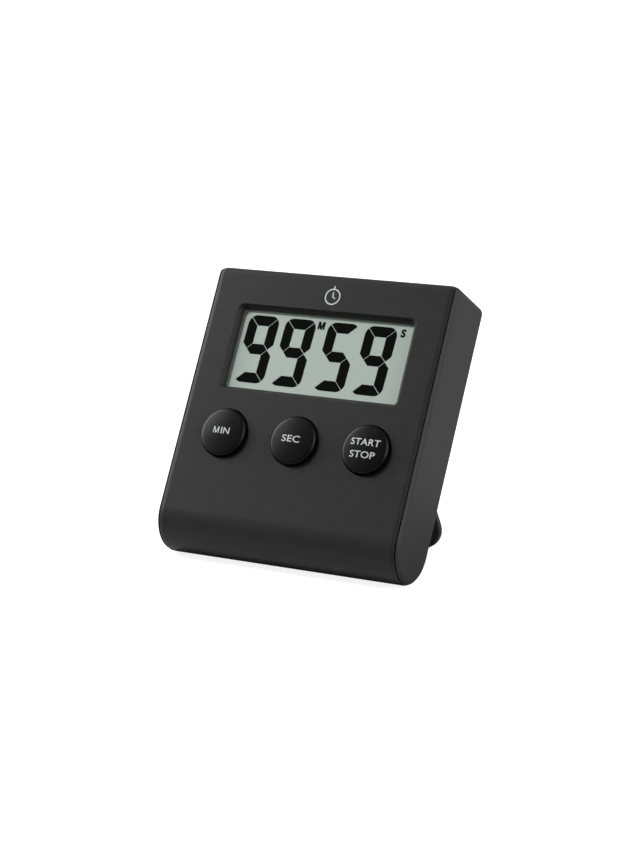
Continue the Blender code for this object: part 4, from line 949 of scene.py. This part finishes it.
def barOutlines():
    # outlines of the seven bars round (0, 0): mitred corners with round outsides, pointed middle ends
    sheet = display
    w, h, t, r = sheet["digitHalfWidth"], sheet["digitHalfHeight"], sheet["stroke"], sheet["corner"]
    half = sheet["gap"] / 2
    step = half * math.sqrt(2)
    lean = math.degrees(math.asin(half / r))
    upperLeft = np.concatenate((
        [(-w + t / 2, step), (-w + t, step + t / 2), (-w + t, h - t - step)],
        arcPoints((r - w, h - r), r, 135 + lean, 180, 6),
        [(-w, step + t / 2)],
    ))
    top = np.concatenate((
        [(-w + t + step, h - t), (w - t - step, h - t)],
        arcPoints((w - r, h - r), r, 45 + lean, 90, 6),
        arcPoints((r - w, h - r), r, 90, 135 - lean, 6),
    ))
    tip = w - t / 2 - step
    flat = tip - t / 2
    middle = np.array([(-tip, 0), (-flat, -t / 2), (flat, -t / 2), (tip, 0), (flat, t / 2), (-flat, t / 2)])
    mirror = np.array((-1, 1))
    return {
        "a": top, "d": top * (1, -1), "f": upperLeft, "b": upperLeft * mirror,
        "e": upperLeft * (1, -1), "c": -upperLeft, "g": middle,
    }


def buildDisplay():
    # a thin plate for the film, and the lit bars and marks as thin plates on it
    sheet = display
    rows = []
    levels = (filmHigh[1], filmLow[1] + sheet["edge"], filmLow[1])
    for inset in (0.0, 0.0, sheet["edge"]):
        low, high = filmLow[2] + inset, filmHigh[2] - inset
        rows.append(roundedRectangle(filmHigh[0] - inset, low, high, sheet["filmCorner"], 4))
    film = toObject("displayFilm", along(1, rows, levels))
    settle(film, "case", "film", ["lcd_front_polarizer"])

    front = filmLow[1] - sheet["rise"]
    depths = (front, filmLow[1] + sheet["overlap"])
    outlines = barOutlines()
    bars = []
    for x, digit in zip(sheet["places"], sheet["shown"]):
        for letter in litBars[digit]:
            outline = outlines[letter]
            slanted = x + outline[:, 0] + sheet["slant"] * outline[:, 1]
            moved = np.stack((slanted, sheet["middle"] + outline[:, 1]), -1)
            bars.append(along(1, [moved, moved], depths))
    digits = toObject("displayDigits", together(bars))
    settle(digits, "case", "segment", weigh=False)

    def onFilm(places):
        return np.full(len(places), front)

    style = (sheet["slant"], sheet["markBold"], sheet["markStroke"])
    marks = lettering("displayMarks", sheet["marks"], onFilm, *style)
    thicken(marks, sheet["markDepth"])
    settle(marks, "case", "segment", weigh=False)


buildDisplay()
print("display made")

emblem = {
    "x": 0.7, "height": 69.8, "radius": 2.05, "line": 0.17, "rise": 0.03,
    "sink": 0.02, "knob": 0.9, "hands": ((0.0, 1.3), (120.0, 0.95)),
}


def buildEmblem():
    # a plain clock sign printed over the window: a ring, a knob on top and two hands
    sheet = emblem
    line, radius = sheet["line"], sheet["radius"]
    centre = (sheet["x"], sheet["height"])
    depths = (-sheet["rise"], sheet["sink"])
    front, deep = depths
    ring = [(front, radius - line), (front, radius + line), (deep, radius + line), (deep, radius - line)]
    shapes = [turned(centre, ring, 64, closed=True)]
    bars = [(angle, 0.0, reach) for angle, reach in sheet["hands"]]
    bars.append((0.0, radius + line, radius + sheet["knob"]))
    for angle, start, end in bars:
        turn = math.radians(angle)
        outward = np.array((math.sin(turn), math.cos(turn)))
        aside = np.array((outward[1], -outward[0])) * line
        near, far = centre + outward * start, centre + outward * end
        outline = [near - aside, near + aside, far + aside, far - aside]
        shapes.append(along(1, [outline, outline], depths))
    sign = toObject("clockSign", together(shapes))
    settle(sign, "case", "label", weigh=False)


buildEmblem()

# Round magnets, flush in the back

magnetDisc = {"radius": 6.0, "rim": 0.3, "core": 0.05}


def buildMagnets():
    # a profile turned round y: flat inner face, straight side, quarter-circle rim, flat outer face
    sheet = magnetDisc
    rim = [(magnetHigh[1] - wide, sheet["radius"] - depth) for depth, wide in flare(sheet["rim"])]
    profile = [(magnetLow[1], sheet["core"]), (magnetLow[1], sheet["radius"])] + rim
    profile.append((magnetHigh[1], sheet["core"]))
    for side, node in ((-1, "magnet_left"), (1, "magnet_right")):
        disc = toObject(f"{node}_disc", turned((side * magnetX, magnetZ), profile, 72))
        settle(disc, "case", "magnet", [node], weigh=False)


buildMagnets()
print("magnets made")

# The nodes that stay as they are get their finishes

nodeFinishes = {  # how the names of a finish's nodes start; the others are of the case's plastic
    "glass": "lcd_glass",
    "film": "lcd_reflector",
    "holder": "lcd_holder",
    "rubber": "rubber_keypad",
    "carbon": "zebra_strip contact_pill",
    "board": "main_board",
    "epoxy": "timer_chip board_capacitor driver_transistor",
    "ferrite": "boost_coil",
    "ceramic": "board_resistor buzzer_ceramic",
    "brass": "buzzer_plate",
    "jacket": "battery_cell",
    "screw": "case_screw",
    "steel": "quartz_crystal battery_spring battery_contact board_screw",
    "redLead": "battery_lead_positive buzzer_lead_ceramic",
    "blackLead": "battery_lead_negative buzzer_lead_plate",
}
for name, node in frame["nodes"].items():
    fitting = [finish for finish, starts in nodeFinishes.items() if name.startswith(tuple(starts.split()))]
    node.data.materials.clear()
    node.data.materials.append(finishes[(fitting + ["shell"])[0]])
print("nodes finished")

# Floor, light and camera

studio = {
    "middle": (0.0, 0.0, 0.036), "white": (1.0, 1.0, 1.0, 1.0),
    "floorSize": 40.0, "floorRoughness": 0.9, "floorSpecular": 0.1, "floor": 0.48, "floorFront": 0.05,
    "floorFade": (-0.028, -0.060), "floorGlow": (1.0, -0.30), "ambient": 0.05,
    "panels": (
        ((0.95, 0.02, 0.30), 3.0, 42, 12),
        ((0.2, 0.9, 0.35), 0.5, 60, 25),
    ),
    "keyDirection": (-0.57, -0.30, 0.77), "keyStrength": 3.2, "keyAngle": 9.0,
    "keyDistance": 1.0, "boxDirection": (-0.84, -0.06, 0.40), "boxDistance": 0.36,
    "boxSize": 0.30, "boxBrightness": 5.0,
}


def hang(light, direction, distance):
    # a lamp that shines at the middle of the case from one side
    lamp = newObject(light.name, light)
    toward = Vector(direction).normalized()
    lamp.location = Vector(studio["middle"]) + toward * distance
    lamp.rotation_mode = "QUATERNION"
    lamp.rotation_quaternion = toward.to_track_quat("Z", "Y")
    return lamp


def buildFloor():
    # a square sheet round the middle, dark in front of the case; only the camera sees its glow
    corners = studio["floorSize"] * np.array([(-1, -1, 0), (1, -1, 0), (1, 1, 0), (-1, 1, 0)])
    mesh = bpy.data.meshes.new("floor")
    mesh.from_pydata(corners.tolist(), [], [(0, 1, 2, 3)])
    floor = newObject("floor", mesh)
    paper = bpy.data.materials.new("paleFloor")
    paper.use_nodes = True
    tree = paper.node_tree
    near, far = studio["floorFade"]
    shade = smoothRange(tree, objectAxis(tree, "Y"), far, near, studio["floorFront"], studio["floor"])
    seen = addNode(tree, "ShaderNodeLightPath").outputs["Is Camera Ray"]
    level, drop = studio["floorGlow"]
    glow = mathNode(tree, "MULTIPLY", seen, mathNode(tree, "MULTIPLY_ADD", shade, drop, level))
    fill(tree, tree.nodes["Principled BSDF"], {
        "Base Color": shade, "Roughness": studio["floorRoughness"],
        "Specular IOR Level": studio["floorSpecular"],
        "Emission Color": studio["white"], "Emission Strength": glow,
    })
    mesh.materials.append(paper)


def buildSky():
    # soft panels on the sky, each from its direction, its brightness and the angles where it ends and is full
    world = bpy.data.worlds.new("studio")
    world.use_nodes = True
    tree = world.node_tree
    sky = addNode(tree, "ShaderNodeTexCoord").outputs["Generated"]
    level = studio["ambient"]
    for direction, brightness, outer, inner in studio["panels"]:
        inputs = {0: sky, 1: Vector(direction).normalized()}
        toward = addNode(tree, "ShaderNodeVectorMath", inputs, operation="DOT_PRODUCT").outputs["Value"]
        outer, inner = np.cos(np.radians((outer, inner))).tolist()
        level = mathNode(tree, "ADD", smoothRange(tree, toward, outer, inner, 0.0, brightness), level)
    seen = addNode(tree, "ShaderNodeLightPath").outputs["Is Camera Ray"]
    strength = mathNode(tree, "MAXIMUM", level, seen)
    fill(tree, tree.nodes["Background"], {"Color": studio["white"], "Strength": strength})
    bpy.context.scene.world = world


def buildLamps():
    # a far lamp for the soft shadows, and a near soft box that the gloss also shows
    key = bpy.data.lights.new("key", "SUN")
    key.energy = studio["keyStrength"]
    key.angle = math.radians(studio["keyAngle"])
    hang(key, studio["keyDirection"], studio["keyDistance"]).visible_glossy = False
    box = bpy.data.lights.new("softBox", "AREA")
    box.size = studio["boxSize"]
    box.energy = studio["boxBrightness"] * math.pi * studio["boxSize"] ** 2
    hang(box, studio["boxDirection"], studio["boxDistance"]).visible_camera = False


buildFloor()
buildSky()
buildLamps()
print("studio made")

viewpoint = {
    "place": (0.2742, -0.4997, 0.1598), "forward": (-0.4695, 0.8561, -0.2160),
    "lens": 95.35, "sensor": 36.0, "nearest": 0.01,
}


def buildCamera():
    camera = newObject("camera", bpy.data.cameras.new("camera"))
    camera.data.lens = viewpoint["lens"]
    camera.data.sensor_width = viewpoint["sensor"]
    camera.data.clip_start = viewpoint["nearest"]
    camera.location = viewpoint["place"]
    camera.rotation_mode = "QUATERNION"
    camera.rotation_quaternion = Vector(viewpoint["forward"]).to_track_quat("-Z", "Y")
    bpy.context.scene.camera = camera


buildCamera()
bpy.context.scene.view_settings.view_transform = "Standard"

print("scene ready")
